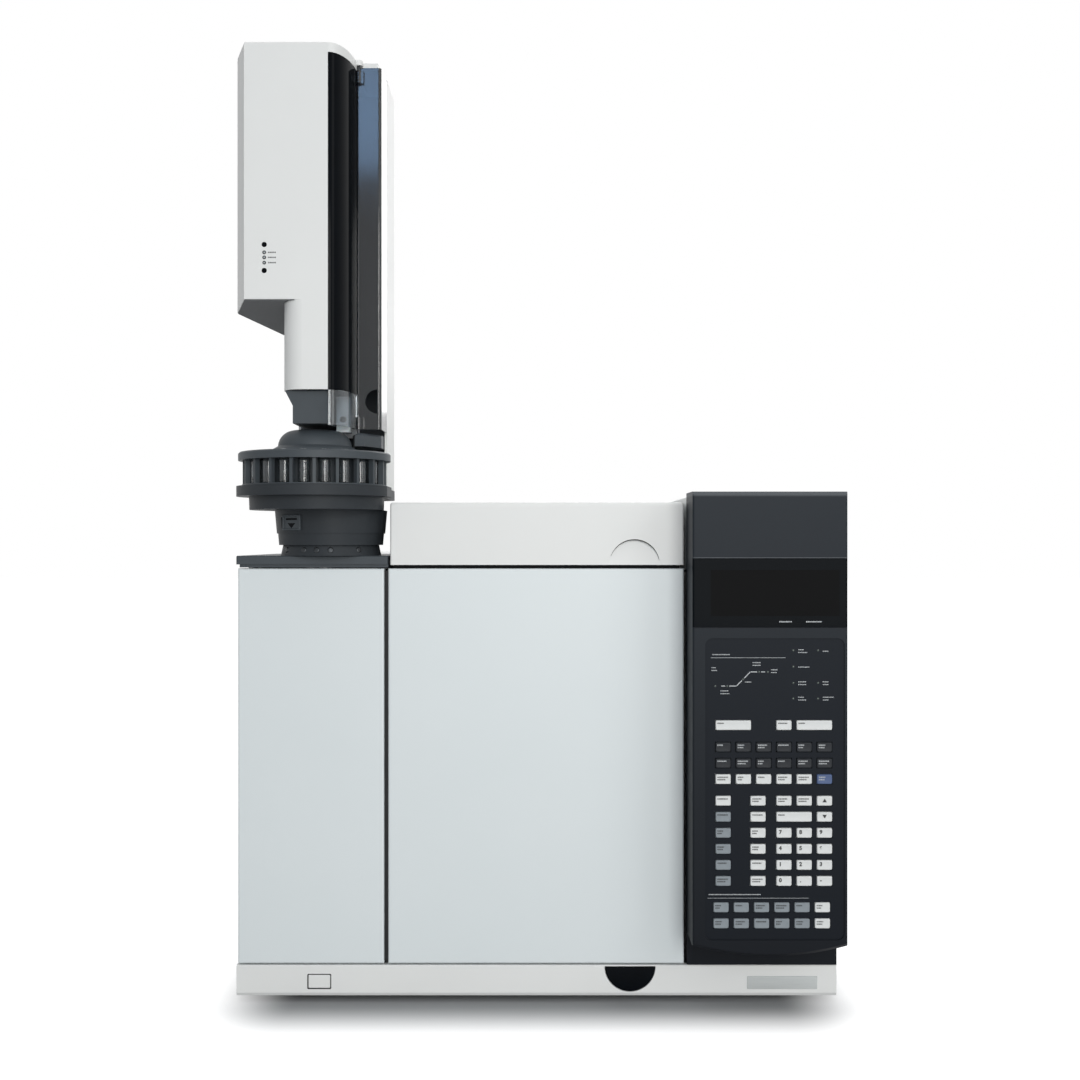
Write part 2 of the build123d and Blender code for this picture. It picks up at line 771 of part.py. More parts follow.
# ---------------------------------------------------------------- oven door
door_left = left + 1.5
door_bottom, door_top = base_top + 1.5, deck_top + 1.0
skin_sheet = 2.0
skin_return = 14.0
skin_gap = 4.0
panel_split = left + 145.2
frame_gap = 0.2
frame_wall = 2.0
frame_left, frame_right = door_left + skin_sheet + frame_gap, door_right - skin_sheet - frame_gap
frame_bottom, frame_top = door_bottom + skin_sheet + frame_gap, door_top - skin_sheet - frame_gap
frame_front, frame_back = door_front + skin_sheet, door_front + door_thickness
lug_height = 14.0
lug_half = 8.0


def door_skin(x):
    """One painted panel of the door: a shallow pan whose edges turn back round the frame."""
    with BuildPart() as skin:
        block(x, (door_front, door_front + skin_return), (door_bottom, door_top))
        fillet(skin.faces().sort_by(Axis.Y)[0].edges(), 1.8)
        block(
            (x[0] + skin_sheet, x[1] - skin_sheet),
            (frame_front, door_front + skin_return),
            (door_bottom + skin_sheet, door_top - skin_sheet),
            Mode.SUBTRACT,
        )
    return skin


door_skin_left = door_skin((door_left, panel_split))
finish(door_skin_left, "door_skin_left")
door_skin_centre = door_skin((panel_split + skin_gap, door_right))
finish(door_skin_centre, "door_skin_centre")

with BuildPart() as door_frame:
    block((frame_left, frame_right), (frame_front, frame_back), (frame_bottom, frame_top))
    block(
        (frame_left + frame_wall, frame_right - frame_wall),
        (frame_front + frame_wall, frame_back),
        (frame_bottom + frame_wall, frame_top - frame_wall),
        Mode.SUBTRACT,
    )
    # room for the inner edges of the two skins, which turn back at the split
    for edge_x in (panel_split - skin_sheet, panel_split + skin_gap):
        block(
            (edge_x - frame_gap, edge_x + skin_sheet + frame_gap),
            (frame_front, door_front + skin_return + frame_gap),
            (frame_bottom, frame_top),
            Mode.SUBTRACT,
        )
    block(
        (panel_split - skin_sheet - frame_wall, panel_split + skin_gap + skin_sheet + frame_wall),
        (door_front + skin_return + frame_gap, door_front + skin_return + frame_gap + frame_wall),
        (frame_bottom, frame_top),
    )
    for lug_bottom in (frame_bottom, frame_top - lug_height):
        block(
            (frame_left, hinge_x + lug_half),
            (hinge_y - lug_half, frame_back),
            (lug_bottom, lug_bottom + lug_height),
        )
    with BuildSketch(Plane.XY.offset(frame_bottom)):
        with Locations((hinge_x, hinge_y)):
            Circle(pin_radius + fit)
    extrude(amount=frame_top - frame_bottom, mode=Mode.SUBTRACT)
finish(door_frame, "door_frame")

batt_front = door_front + skin_return + frame_gap + frame_wall
batt_back = frame_back - 2.0
plug_gap = 6.0
plug_back = oven_front + 8.0
with BuildPart() as door_insulation:
    block(
        (hinge_x + lug_half + 1.0, frame_right - frame_wall - 1.0),
        (batt_front, batt_back),
        (frame_bottom + frame_wall, frame_top - frame_wall),
    )
    block(
        (cavity_left + plug_gap, cavity_right - plug_gap),
        (batt_back, plug_back),
        (cavity_floor + plug_gap, cavity_roof - plug_gap),
    )
    fillet(door_insulation.faces().sort_by(Axis.Y)[-1].edges(), 5.0)
finish(door_insulation, "door_insulation")

seal_inner, seal_width = 3.0, 6.0
seal_squeeze = 0.4  # gap to the oven's front flange while the door is shut
with BuildPart() as door_seal:
    with BuildSketch(Plane.XZ.offset(-batt_back)):
        with Locations((oven_x, oven_z)):
            RectangleRounded(
                cavity_right - cavity_left + 2 * (seal_inner + seal_width),
                cavity_roof - cavity_floor + 2 * (seal_inner + seal_width),
                seal_width,
            )
            RectangleRounded(
                cavity_right - cavity_left + 2 * seal_inner,
                cavity_roof - cavity_floor + 2 * seal_inner,
                seal_inner,
                mode=Mode.SUBTRACT,
            )
    extrude(amount=-(oven_front - liner_sheet - seal_squeeze - batt_back))
finish(door_seal, "door_seal")

# ---------------------------------------------------------------- detector cover and inlet tray
scoop_x = console_left - 51.6
scoop_radius = 25.0
scoop_depth = 3.6
cover_side_back = door_front + 252.0
with BuildPart() as detector_cover:
    block(
        (cover_left, cover_right),
        (door_front, cover_hinge_y + 5.0),
        (cover_bottom, cover_top),
    )
    fillet(detector_cover.faces().sort_by(Axis.Z)[-1].edges().sort_by(Axis.Y)[0], 5.0)
    fillet(detector_cover.faces().sort_by(Axis.Y)[0].edges().filter_by(Axis.Z), 2.0)
    block(
        (cover_left + sheet, cover_right - sheet),
        (door_front + sheet, cover_hinge_y + 5.0),
        (cover_bottom, cover_top - sheet),
        Mode.SUBTRACT,
    )
    block(
        (cover_left, cover_right),
        (cover_side_back, cover_hinge_y + 5.0),
        (cover_bottom, cover_top - sheet),
        Mode.SUBTRACT,
    )
    for wall_x in (cover_left, cover_right - sheet):
        with BuildSketch(Plane.YZ.offset(wall_x)):
            with BuildLine():
                Polyline(
                    (cover_side_back, cover_top - sheet),
                    (cover_hinge_y + 5, cover_top - sheet),
                    (cover_hinge_y + 5, cover_hinge_z - 4),
                    (cover_hinge_y, cover_hinge_z - 7),
                    (cover_side_back, cover_hinge_z - 30),
                    close=True,
                )
            make_face()
            with Locations((cover_hinge_y, cover_hinge_z)):
                Circle(pin_radius + fit, mode=Mode.SUBTRACT)
        extrude(amount=sheet)
    # finger scoop: a half-round dish that is deepest at its top edge
    with BuildSketch(Plane.XZ.offset(-(door_front + sheet))):
        with Locations((scoop_x, cover_bottom)):
            Circle(scoop_radius + sheet)
        with Locations((scoop_x, cover_bottom - scoop_radius - sheet)):
            Rectangle(3 * scoop_radius, 2 * (scoop_radius + sheet), mode=Mode.SUBTRACT)
    extrude(amount=-scoop_depth)
    with BuildPart(mode=Mode.SUBTRACT):
        with BuildSketch(Plane.YZ.offset(scoop_x - scoop_radius)):
            with BuildLine():
                Polyline(
                    (door_front - 1, cover_bottom - 1),
                    (door_front, cover_bottom - 1),
                    (door_front + scoop_depth, cover_bottom + scoop_radius),
                    (door_front - 1, cover_bottom + scoop_radius),
                    close=True,
                )
            make_face()
        extrude(amount=2 * scoop_radius)
        with BuildSketch(Plane.XZ.offset(-(door_front + 2 * scoop_depth))):
            with Locations((scoop_x, cover_bottom)):
                Circle(scoop_radius)
        extrude(amount=4 * scoop_depth, mode=Mode.INTERSECT)
finish(detector_cover, "detector_cover")

tray_front = door_front - 2.0
nut_hole_radius = 14.0
tray_lip = 3.0
riser_x = tray_right - 3.5
riser_front = needle_y - 17.0
with BuildPart() as inlet_cover:
    block((left, tray_right), (tray_front, tray_back), (tray_bottom + tray_lip, tray_top))
    fillet(inlet_cover.edges().filter_by(Axis.Z).sort_by(Axis.Y)[:2], 2.0)
    chamfer(inlet_cover.faces().sort_by(Axis.Z)[-1].edges(), 0.8)
    block(
        (left + 3, tray_right), (tray_front + 3, tray_back), (tray_bottom, tray_bottom + tray_lip)
    )
    block(
        (left + 3 + sheet, tray_right - sheet),
        (tray_front + 3 + sheet, tray_back - sheet),
        (tray_bottom, tray_top - sheet),
        Mode.SUBTRACT,
    )
    block((riser_x, riser_x + sheet), (riser_front, tray_back), (tray_top - sheet, cover_top - 1))
    fillet(inlet_cover.edges().filter_by(Axis.X).group_by(Axis.Z)[-1], 8.0)
    with BuildSketch(Plane.XY.offset(tray_top)):
        with Locations(*inlet_places):
            Circle(nut_hole_radius)
    extrude(amount=-sheet, mode=Mode.SUBTRACT)
finish(inlet_cover, "inlet_cover")

# ---------------------------------------------------------------- keypad console
console_sheet = 4.0
console_bottom = base_top + 0.5
chin_z = console_top - 441.0  # lowest point of the front face
chin_bow = 10.0  # how far that edge bows down between its ends
console_chamfer, console_corner = 3.0, 2.0
field_depth = 1.2
field_left, field_right = console_left + 11.9, right - 3.0
field_top, field_bottom = console_top - 139.0, chin_z + chin_bow + 6.0
field_corner = 7.0
display_bottom, display_top = console_top - 129.0, console_top - 63.0
display_margin = 4.5
display_recess = 2.2
window_border = 9.0
key_pitch = 19.2
row_pitch = 15.2
key_gap, row_gap = 4.7, 6.0
key_width, key_height = key_pitch - key_gap, row_pitch - row_gap
wide_key = 2 * key_pitch - key_gap
key_clearance = 0.35
key_proud = 1.5
key_travel = 1.2
key_flange = 1.0
key_back = console_sheet + 1.5
board_front = console_sheet + 3.0
first_column = console_left + 29.0
modifier_column = 1.72
start_row = console_top - 221.5
component_row = console_top - 242.2
number_row = console_top - 293.1
method_row = console_top - 394.1
method_shift = -2.0


def keys_at(row, columns, width=key_width, shift=0.0):
    """Centres and width of the keys that stand in the given columns of one row."""
    return [(first_column + key_pitch * column + shift, row, width) for column in columns]


def number_block(row):
    """Height of a row of the number block, counted from its top."""
    return number_row - row_pitch * row


key_groups = {
    "stop_key": keys_at(start_row, [0.5], wide_key),
    "start_key": keys_at(start_row, [4.5], wide_key),
    "enter_key": keys_at(number_block(1), [3.5], wide_key),
    "component_keys": keys_at(component_row, range(6)) + keys_at(component_row - row_pitch, range(6)),
    "instrument_keys": keys_at(start_row, [3]) + keys_at(component_row - 2 * row_pitch, range(6)),
    "number_keys": [key for row in range(2, 6) for key in keys_at(number_block(row), [3, 4, 5])],
    "edit_keys": keys_at(number_block(0), [3, 4, 5])
    + keys_at(number_block(1), [5])
    + [key for row in range(6) for key in keys_at(number_block(row), [modifier_column])],
    "method_keys": [key for row in range(6) for key in keys_at(number_block(row), [0])]
    + keys_at(method_row, range(6), shift=method_shift)
    + keys_at(method_row - row_pitch, range(6), shift=method_shift),
}

with BuildPart() as keypad_fascia:
    # front shell, whose lower edge bows down between its ends
    with BuildSketch(Plane.XZ.offset(-console_front)):
        with BuildLine():
            Polyline(
                (right, chin_z + chin_bow),
                (right, console_top),
                (console_left, console_top),
                (console_left, chin_z + chin_bow),
            )
            ThreePointArc(
                (console_left, chin_z + chin_bow),
                ((console_left + right) / 2, chin_z),
                (right, chin_z + chin_bow),
            )
        make_face()
    extrude(amount=-(inside_front - console_front))
    front_edges = keypad_fascia.faces().sort_by(Axis.Y)[0].edges()
    chamfer(front_edges.filter_by(GeomType.CIRCLE), console_chamfer)
    front_edges = keypad_fascia.faces().sort_by(Axis.Y)[0].edges()
    chamfer(front_edges.sort_by(Axis.Z)[-1], console_chamfer)
    front_edges = keypad_fascia.faces().sort_by(Axis.Y)[0].edges()
    fillet(front_edges.filter_by(Axis.Z), console_corner)
    # plate below it, in line with the door
    block(
        (console_left, right),
        (door_front, inside_front),
        (console_bottom, chin_z + chin_bow + console_sheet),
    )
    block(
        (console_left + console_sheet, right - console_sheet),
        (console_front + console_sheet, inside_front),
        (chin_z + chin_bow + console_sheet, console_top - console_sheet),
        Mode.SUBTRACT,
    )
    with BuildSketch(Plane.XZ.offset(-console_front)):
        with Locations(((field_left + field_right) / 2, (field_top + field_bottom) / 2)):
            RectangleRounded(field_right - field_left, field_top - field_bottom, field_corner)
    extrude(amount=-field_depth, mode=Mode.SUBTRACT)
    with BuildSketch(Plane.XZ.offset(-console_front)):
        with Locations(((console_left + right) / 2, (display_top + display_bottom) / 2)):
            Rectangle(console_width, display_top - display_bottom)
    extrude(amount=-display_recess, mode=Mode.SUBTRACT)
    with BuildSketch(Plane.XZ.offset(-console_front)):
        with Locations(((console_left + right) / 2, (display_top + display_bottom) / 2)):
            Rectangle(
                console_width - 2 * display_margin - 2 * window_border,
                display_top - display_bottom - 2 * window_border,
            )
        for group in key_groups.values():
            for key_x, key_z, width_x in group:
                with Locations((key_x, key_z)):
                    Rectangle(width_x + 2 * key_clearance, key_height + 2 * key_clearance)
    extrude(amount=-console_sheet, mode=Mode.SUBTRACT)
finish(keypad_fascia, "keypad_fascia")

window_clearance = 0.3
with BuildPart() as display_window:
    block(
        (console_left, right),
        (console_front + 0.1, console_front + display_recess),
        (display_bottom + window_clearance, display_top - window_clearance),
    )
    fillet(display_window.faces().sort_by(Axis.Y)[0].edges().filter_by(Axis.Z), display_recess - 0.4)
finish(display_window, "display_window")

with BuildPart() as keypad_board:
    block(
        (field_left + 2, right - console_sheet - 4),
        (console_front + board_front, console_front + board_front + 1.6),
        (field_bottom + 6, display_top + 4),
    )
    with BuildSketch(Plane.XZ.offset(-(console_front + board_front))):
        with Locations(((console_left + right) / 2, (display_top + display_bottom) / 2)):
            Rectangle(
                console_width - 2 * display_margin - 2 * window_border - 4,
                display_top - display_bottom - 2 * window_border - 4,
            )
    extrude(amount=board_front - display_recess - 0.3)
    for peg_x in (field_left + 3, right - console_sheet - 8):
        for peg_z in (field_bottom + 10, display_bottom - 5, display_top + 1):
            block(
                (peg_x - 2, peg_x + 2),
                (console_front + console_sheet, console_front + board_front),
                (peg_z - 2, peg_z + 2),
            )
finish(keypad_board, "keypad_board")


def key_set(places):
    """Keys of one group: each cap stands in its hole on a flange behind the console's wall."""
    with BuildPart() as keys:
        with BuildSketch(Plane.XZ.offset(-(console_front + key_back))):
            for key_x, key_z, width_x in places:
                with Locations((key_x, key_z)):
                    Rectangle(width_x, key_height)
        extrude(amount=key_back - field_depth + key_proud)
        chamfer(keys.faces().filter_by(Axis.Y).group_by(Axis.Y)[0].edges(), 0.6)
        with BuildSketch(Plane.XZ.offset(-(console_front + key_back))):
            for key_x, key_z, width_x in places:
                with Locations((key_x, key_z)):
                    Rectangle(width_x + 2 * key_flange, key_height + 2 * key_flange)
        extrude(amount=key_back - console_sheet - 0.3)
    return keys


for group_name, group in key_groups.items():
    finish(key_set(group), group_name)

# ---------------------------------------------------------------- tower: platform and turret
platform_top = tray_top + 68.0
platform_thickness = 10.0
platform_flat = cover_left - 1.5
pedestal_right = riser_x - 2.0
upper_radius, upper_height = platform_radius - 10.0, 13.0
upper_x = pedestal_right - upper_radius + 0.6
lower_radius, lower_height = platform_radius - 20.0, 23.0
lower_x = pedestal_right - lower_radius + 0.6
lower_y = turret_y + 26.0
lower_taper = 5.0
collar_height = 12.0
foot_ring_radius, foot_ring_height = lower_radius - 6.0, 10.5
needle_hole_radius = 2.0
spindle_radius = 6.0
spindle_height = 26.0
column_left, column_right = inlet_x - 30.0, platform_flat - 11.5
column_front = needle_y + 31.0
back_rear = column_front + 52.0
back_radius = 25.0
column_back = back_rear - back_radius
plate_right = column_right + 3.5  # platform plate under the column
port_angle = radians(227)
port_width, port_height, port_depth = 24.0, 15.0, 3.0

upper_bottom = platform_top - platform_thickness - upper_height
lower_bottom = upper_bottom - lower_height
collar_bottom = tray_top + foot_ring_height
with BuildPart() as tower_base:
    with BuildSketch(Plane.XY.offset(platform_top)) as plate:
        with Locations((inlet_x, turret_y)):
            Circle(platform_radius)
        with Locations(((column_left + plate_right) / 2, (turret_y + back_rear) / 2)):
            Rectangle(plate_right - column_left, back_rear - turret_y)
        with Locations((platform_flat + platform_radius, turret_y)):
            Rectangle(2 * platform_radius, 6 * platform_radius, mode=Mode.SUBTRACT)
        fillet(plate.vertices().group_by(Axis.Y)[-1], back_radius)
    extrude(amount=-platform_thickness)
    with BuildSketch(Plane.XY.offset(platform_top - platform_thickness)):
        with Locations((upper_x, turret_y)):
            Circle(upper_radius)
        with Locations((pedestal_right + upper_radius, turret_y)):
            Rectangle(2 * upper_radius, 4 * upper_radius, mode=Mode.SUBTRACT)
    extrude(amount=-upper_height, taper=2)
    with BuildSketch(Plane.XY.offset(upper_bottom)):
        with Locations((lower_x, lower_y)):
            Circle(lower_radius)
        with Locations((pedestal_right + lower_radius, lower_y)):
            Rectangle(2 * lower_radius, 4 * lower_radius, mode=Mode.SUBTRACT)
    extrude(amount=-lower_height, taper=lower_taper)
    with BuildSketch(Plane.XY.offset(lower_bottom)):
        with Locations((lower_x, lower_y)):
            Circle(lower_radius - 3.2)
    extrude(amount=-(lower_bottom - collar_bottom), taper=lower_taper)
    with BuildSketch(Plane.XY.offset(tray_top)):
        with Locations((lower_x, lower_y)):
            Circle(foot_ring_radius)
    extrude(amount=foot_ring_height, taper=12)
    with BuildSketch(Plane.XY.offset(tray_top)):
        with Locations(inlet_places[0]):
            Circle(nut_hole_radius)
    extrude(amount=nut_top + 3 - tray_top, mode=Mode.SUBTRACT)
    with BuildSketch(Plane.XY.offset(tray_top)):
        with Locations(inlet_places[0]):
            Circle(needle_hole_radius)
    extrude(amount=platform_top - tray_top, mode=Mode.SUBTRACT)
    with BuildSketch(Plane.XY.offset(platform_top)):
        with Locations((inlet_x, turret_y)):
            Circle(spindle_radius)
    extrude(amount=spindle_height)
    # cable port on the front left of the pedestal
    port_normal = (cos(port_angle), sin(port_angle), 0)
    port_plane = Plane(
        origin=(
            lower_x + (lower_radius - 1) * port_normal[0],
            lower_y + (lower_radius - 1) * port_normal[1],
            (upper_bottom + lower_bottom) / 2 - 1,
        ),
        x_dir=(-port_normal[1], port_normal[0], 0),
        z_dir=port_normal,
    )
    with BuildSketch(port_plane):
        Rectangle(port_width, port_height)
    extrude(amount=2 * port_depth, mode=Mode.SUBTRACT)
    with BuildSketch(port_plane):
        Rectangle(port_width - 4, port_height - 4)
    extrude(amount=-port_depth, mode=Mode.SUBTRACT)
finish(tower_base, "tower_base")

turret_floor = platform_top + 0.5
turret_plate = 1.2
turret_radius = platform_radius - 5.6
rim_radius = platform_radius - 1.7
rim_bottom, rim_top = platform_top + 25.0, platform_top + 33.0
vial_radius, vial_height = 5.8, 32.0
vial_clearance = 0.5
vial_positions = 20
vial_pitch = 360 / vial_positions
loaded_vials = 16
drum_radius, drum_wall = pitch_radius - 7.5, 2.0
post_width, post_depth = 3.0, 5.0
cap_base_radius, cap_dome_radius = pitch_radius - 17.0, pitch_radius - 25.0
cap_height = 23.0
cap_seat = 0.2
with BuildPart() as turret:
    with BuildSketch(Plane.XY.offset(turret_floor)):
        with Locations((inlet_x, turret_y)):
            Circle(turret_radius)
    extrude(amount=turret_plate)
    with BuildSketch(Plane.XY.offset(turret_floor)):
        with Locations((inlet_x, turret_y)):
            Circle(drum_radius)
            Circle(drum_radius - drum_wall, mode=Mode.SUBTRACT)
            Circle(spindle_radius + 6)
            with PolarLocations(
                turret_radius - post_depth / 2 - 0.5,
                vial_positions,
                start_angle=90 + vial_pitch / 2,
            ):
                Rectangle(post_depth, post_width)
    extrude(amount=rim_bottom - turret_floor)
    with BuildSketch(Plane.XY.offset(rim_bottom)):
        with Locations((inlet_x, turret_y)):
            Circle(rim_radius)
            with PolarLocations(pitch_radius, vial_positions, start_angle=90):
                Circle(vial_radius + vial_clearance, mode=Mode.SUBTRACT)
    extrude(amount=rim_top - rim_bottom)
    chamfer(turret.edges().group_by(Axis.Z)[-1].sort_by(SortBy.LENGTH)[-1], 1.5)
    with BuildSketch(Plane.XY.offset(turret_floor)):
        with Locations((inlet_x, turret_y)):
            Circle(spindle_radius + fit)
            with PolarLocations(pitch_radius, 1, start_angle=90):
                Circle(needle_hole_radius)
    extrude(amount=spindle_height, mode=Mode.SUBTRACT)
    # domed hub cap, a separate moulding that sits on the rim plate
    cap_plane = Plane(origin=(inlet_x, turret_y, rim_top + cap_seat), x_dir=(1, 0, 0), z_dir=(0, -1, 0))
    with BuildSketch(cap_plane):
        with BuildLine():
            Polyline(
                (0, 0), (cap_base_radius, 0), (cap_base_radius - 3, 3.5), (cap_dome_radius, 6.5)
            )
            ThreePointArc(
                (cap_dome_radius, 6.5),
                (cap_dome_radius - 4.5, cap_height - 6),
                (cap_dome_radius - 15, cap_height - 1),
            )
            Polyline((cap_dome_radius - 15, cap_height - 1), (0, cap_height), (0, 0))
        make_face()
    revolve(axis=Axis((inlet_x, turret_y, 0), (0, 0, 1)))
finish(turret, "turret")

first_vial = 90 + 3 * vial_pitch
with BuildPart() as vials:
    with BuildSketch(Plane.XY.offset(turret_floor + turret_plate)):
        with Locations((inlet_x, turret_y)):
            with PolarLocations(
                pitch_radius,
                loaded_vials,
                start_angle=first_vial,
                angular_range=vial_pitch * loaded_vials,
            ):
                Circle(vial_radius)
    extrude(amount=vial_height)
finish(vials, "vials")

# ---------------------------------------------------------------- tower: column, head and door
head_left, head_side_y = left, turret_y - 3.0
head_chamfer_x, head_front = left + 16.0, turret_y - 46.0
strip_left, strip_right = inlet_x + 20.0, inlet_x + 40.5
strip_side_y = turret_y + 9.0
shell_wall = 3.0
nose_front_z, nose_back_z = tower_top - 246.0, tower_top - 261.0
neck_left, neck_radius = inlet_x - 25.0, 20.0
neck_bottom = platform_top + 91.5
strip_top = tower_top - 10.0
strip_end = strip_side_y - 7.0
crown = 5.0  # thickness of the head's top
spine_left, spine_right = column_left + 0.0, column_right
spine_wall = 3.0
back_gap = 0.5
back_wall = 2.5
back_left, back_right = spine_left - back_gap - back_wall, spine_right + back_gap + back_wall
back_front_right = needle_y - 7.0
door_plane = strip_side_y
door_panel_left, door_panel_right = strip_right + 0.7, strip_right + 24.0
door_return_right, door_return_back = back_right, back_front_right - 1.5
tower_door_sheet = 2.5
tower_door_bottom, tower_door_top = platform_top + 57.5, tower_top - 6.0
hinge_pin_radius = 1.5
tower_hinge_x, tower_hinge_y = strip_right + 1.7, strip_side_y - 2.0
knuckle_radius, knuckle_height = 3.2, 12.0
arm_bottom, arm_top = platform_top + 40.5, platform_top + 53.5
housing_bottom = platform_top + 59.5
guard_bottom, guard_front = platform_top + 46.0, needle_y - 15.0
rod_radius = 3.0
rod_y = column_front - 11.0
rod_spacing = 15.0  # each rod from the needle's axis
rod_places = [(inlet_x - rod_spacing, rod_y), (inlet_x + rod_spacing, rod_y)]
carriage_half = rod_spacing + 4.5
rod_top = tower_top - 15.0
carriage_bottom, carriage_height = platform_top + 151.5, 78.0
plunger_bottom, plunger_height = carriage_bottom + 90.0, 18.0
carriage_front, carriage_back = rod_y - 8.0, rod_y + 8.0

with BuildPart() as tower_spine:
    # channel open to the rear
    block(
        (spine_left, spine_right),
        (column_front, column_back),
        (platform_top, tower_top - crown - 3),
    )
    block(
        (spine_left + spine_wall, spine_right - spine_wall),
        (column_front + spine_wall, column_back),
        (platform_top + spine_wall, tower_top - crown - 3 - spine_wall),
        Mode.SUBTRACT,
    )
    # arm that reaches forward over the turret and carries the door's lower pin
    with BuildSketch(Plane.XY.offset(arm_bottom)):
        with BuildLine():
            Polyline(
                (strip_right - 9, column_front),
                (strip_right - 9, tower_hinge_y + 34),
                (tower_hinge_x - 3.5, tower_hinge_y + 8),
                (tower_hinge_x - 3.5, tower_hinge_y - 3.5),
                (tower_hinge_x + 6, tower_hinge_y - 3.5),
                (spine_right, tower_hinge_y + 24),
                (spine_right, column_front),
                close=True,
            )
        make_face()
    extrude(amount=arm_top - arm_bottom)
    chamfer(
        tower_spine.faces().filter_by(Axis.Z).filter_by_position(
            Axis.Z, arm_top - 0.1, arm_top + 0.1
        )[0].edges().sort_by(Axis.Y)[:3],
        2.0,
    )
    with BuildSketch(Plane.XY.offset(arm_bottom)):
        with Locations((tower_hinge_x, tower_hinge_y)):
            Circle(hinge_pin_radius + fit)
    extrude(amount=arm_top - arm_bottom, mode=Mode.SUBTRACT)
    # trough under the neck, which guides the needle
    with BuildSketch(Plane.XZ.offset(-column_front)):
        with BuildLine():
            Polyline(
                (neck_left + 2.5, neck_bottom - 0.5),
                (neck_left + 10, neck_bottom - 15),
                (neck_left + 10, housing_bottom),
                (strip_left - 1, housing_bottom),
                (strip_left - 1, neck_bottom - 0.5),
                close=True,
            )
        make_face()
    extrude(amount=column_front - head_front - 8)
    with BuildSketch(Plane.XZ.offset(-column_front)):
        with BuildLine():
            Polyline(
                (neck_left + 2.5 + shell_wall, neck_bottom),
                (neck_left + 10 + shell_wall, neck_bottom - 15),
                (neck_left + 10 + shell_wall, housing_bottom + shell_wall),
                (strip_left - 1 - shell_wall, housing_bottom + shell_wall),
                (strip_left - 1 - shell_wall, neck_bottom),
                close=True,
            )
        make_face()
    extrude(amount=column_front - head_front - 8 - shell_wall, mode=Mode.SUBTRACT)
    # guard round the needle, which reaches down behind the turret's cap
    block(
        (neck_left + 10, strip_left - 1),
        (guard_front, column_front),
        (guard_bottom, housing_bottom + shell_wall),
    )
    block(
        (neck_left + 10 + shell_wall, strip_left - 1 - shell_wall),
        (guard_front + shell_wall, column_front),
        (guard_bottom - 1, housing_bottom),
        Mode.SUBTRACT,
    )
    with BuildSketch(Plane.XY.offset(housing_bottom)):
        with Locations(inlet_places[0]):
            Circle(needle_hole_radius)
    extrude(amount=shell_wall, mode=Mode.SUBTRACT)
    # lower and upper blocks that hold the guide rods
    for block_bottom in (neck_bottom + 2, rod_top - 12):
        block(
            (inlet_x - carriage_half, inlet_x + carriage_half),
            (carriage_front, column_front),
            (block_bottom, block_bottom + 12),
        )
    with BuildSketch(Plane.XY.offset(neck_bottom)):
        with Locations(*rod_places):
            Circle(rod_radius + fit)
    extrude(amount=rod_top - neck_bottom, mode=Mode.SUBTRACT)
finish(tower_spine, "tower_spine")

with BuildPart() as guide_rods:
    with BuildSketch(Plane.XY.offset(neck_bottom + 2)):
        with Locations(*rod_places):
            Circle(rod_radius)
    extrude(amount=rod_top - neck_bottom - 2)
finish(guide_rods, "guide_rods")

# The carriage that lowers the syringe, and the smaller one above it that works the plunger.
barrel_radius, barrel_bottom, barrel_height = 3.3, carriage_bottom + 4.0, 56.0
needle_radius, needle_tip = 0.4, platform_top + 85.5
plunger_radius = 0.8
clamp_gap = 0.2
clamp_half = 8.0
with BuildPart() as syringe_carriage:
    block(
        (inlet_x - carriage_half, inlet_x + carriage_half),
        (carriage_front, carriage_back),
        (carriage_bottom, carriage_bottom + carriage_height),
    )
    fillet(syringe_carriage.edges().filter_by(Axis.Z), 2.0)
    block(
        (inlet_x - rod_spacing + 5, inlet_x + rod_spacing - 5),
        (carriage_front, carriage_front + 10),
        (carriage_bottom + 12, carriage_bottom + carriage_height - 38),
        Mode.SUBTRACT,
    )
    for clamp_bottom in (carriage_bottom + 4, carriage_bottom + carriage_height - 34):
        block(
            (inlet_x - clamp_half, inlet_x + clamp_half),
            (needle_y - clamp_half, carriage_front),
            (clamp_bottom, clamp_bottom + 8),
        )
    with BuildSketch(Plane.XY.offset(carriage_bottom)):
        with Locations(*rod_places):
            Circle(rod_radius + fit)
        with Locations((inlet_x, needle_y)):
            Circle(barrel_radius + clamp_gap)
        with Locations((inlet_x, needle_y - clamp_half)):
            Rectangle(2 * (barrel_radius + clamp_gap), 2 * clamp_half)
    extrude(amount=carriage_height, mode=Mode.SUBTRACT)
finish(syringe_carriage, "syringe_carriage")

syringe_plane = Plane(origin=(inlet_x, needle_y, 0), x_dir=(1, 0, 0), z_dir=(0, -1, 0))
needle_axis = Axis((inlet_x, needle_y, 0), (0, 0, 1))
with BuildPart() as syringe:
    with BuildSketch(syringe_plane):
        with BuildLine():
            Polyline(
                (0, needle_tip),
                (needle_radius, needle_tip + 1),
                (needle_radius, barrel_bottom - 6),
                (2.0, barrel_bottom - 6),
                (2.0, barrel_bottom),
                (barrel_radius, barrel_bottom),
                (barrel_radius, barrel_bottom + barrel_height),
                (5.5, barrel_bottom + barrel_height),
                (5.5, barrel_bottom + barrel_height + 3),
                (plunger_radius + 0.3, barrel_bottom + barrel_height + 3),
                (plunger_radius + 0.3, barrel_bottom + 20),
                (0, barrel_bottom + 20),
                close=True,
            )
        make_face()
    revolve(axis=needle_axis)
finish(syringe, "syringe")

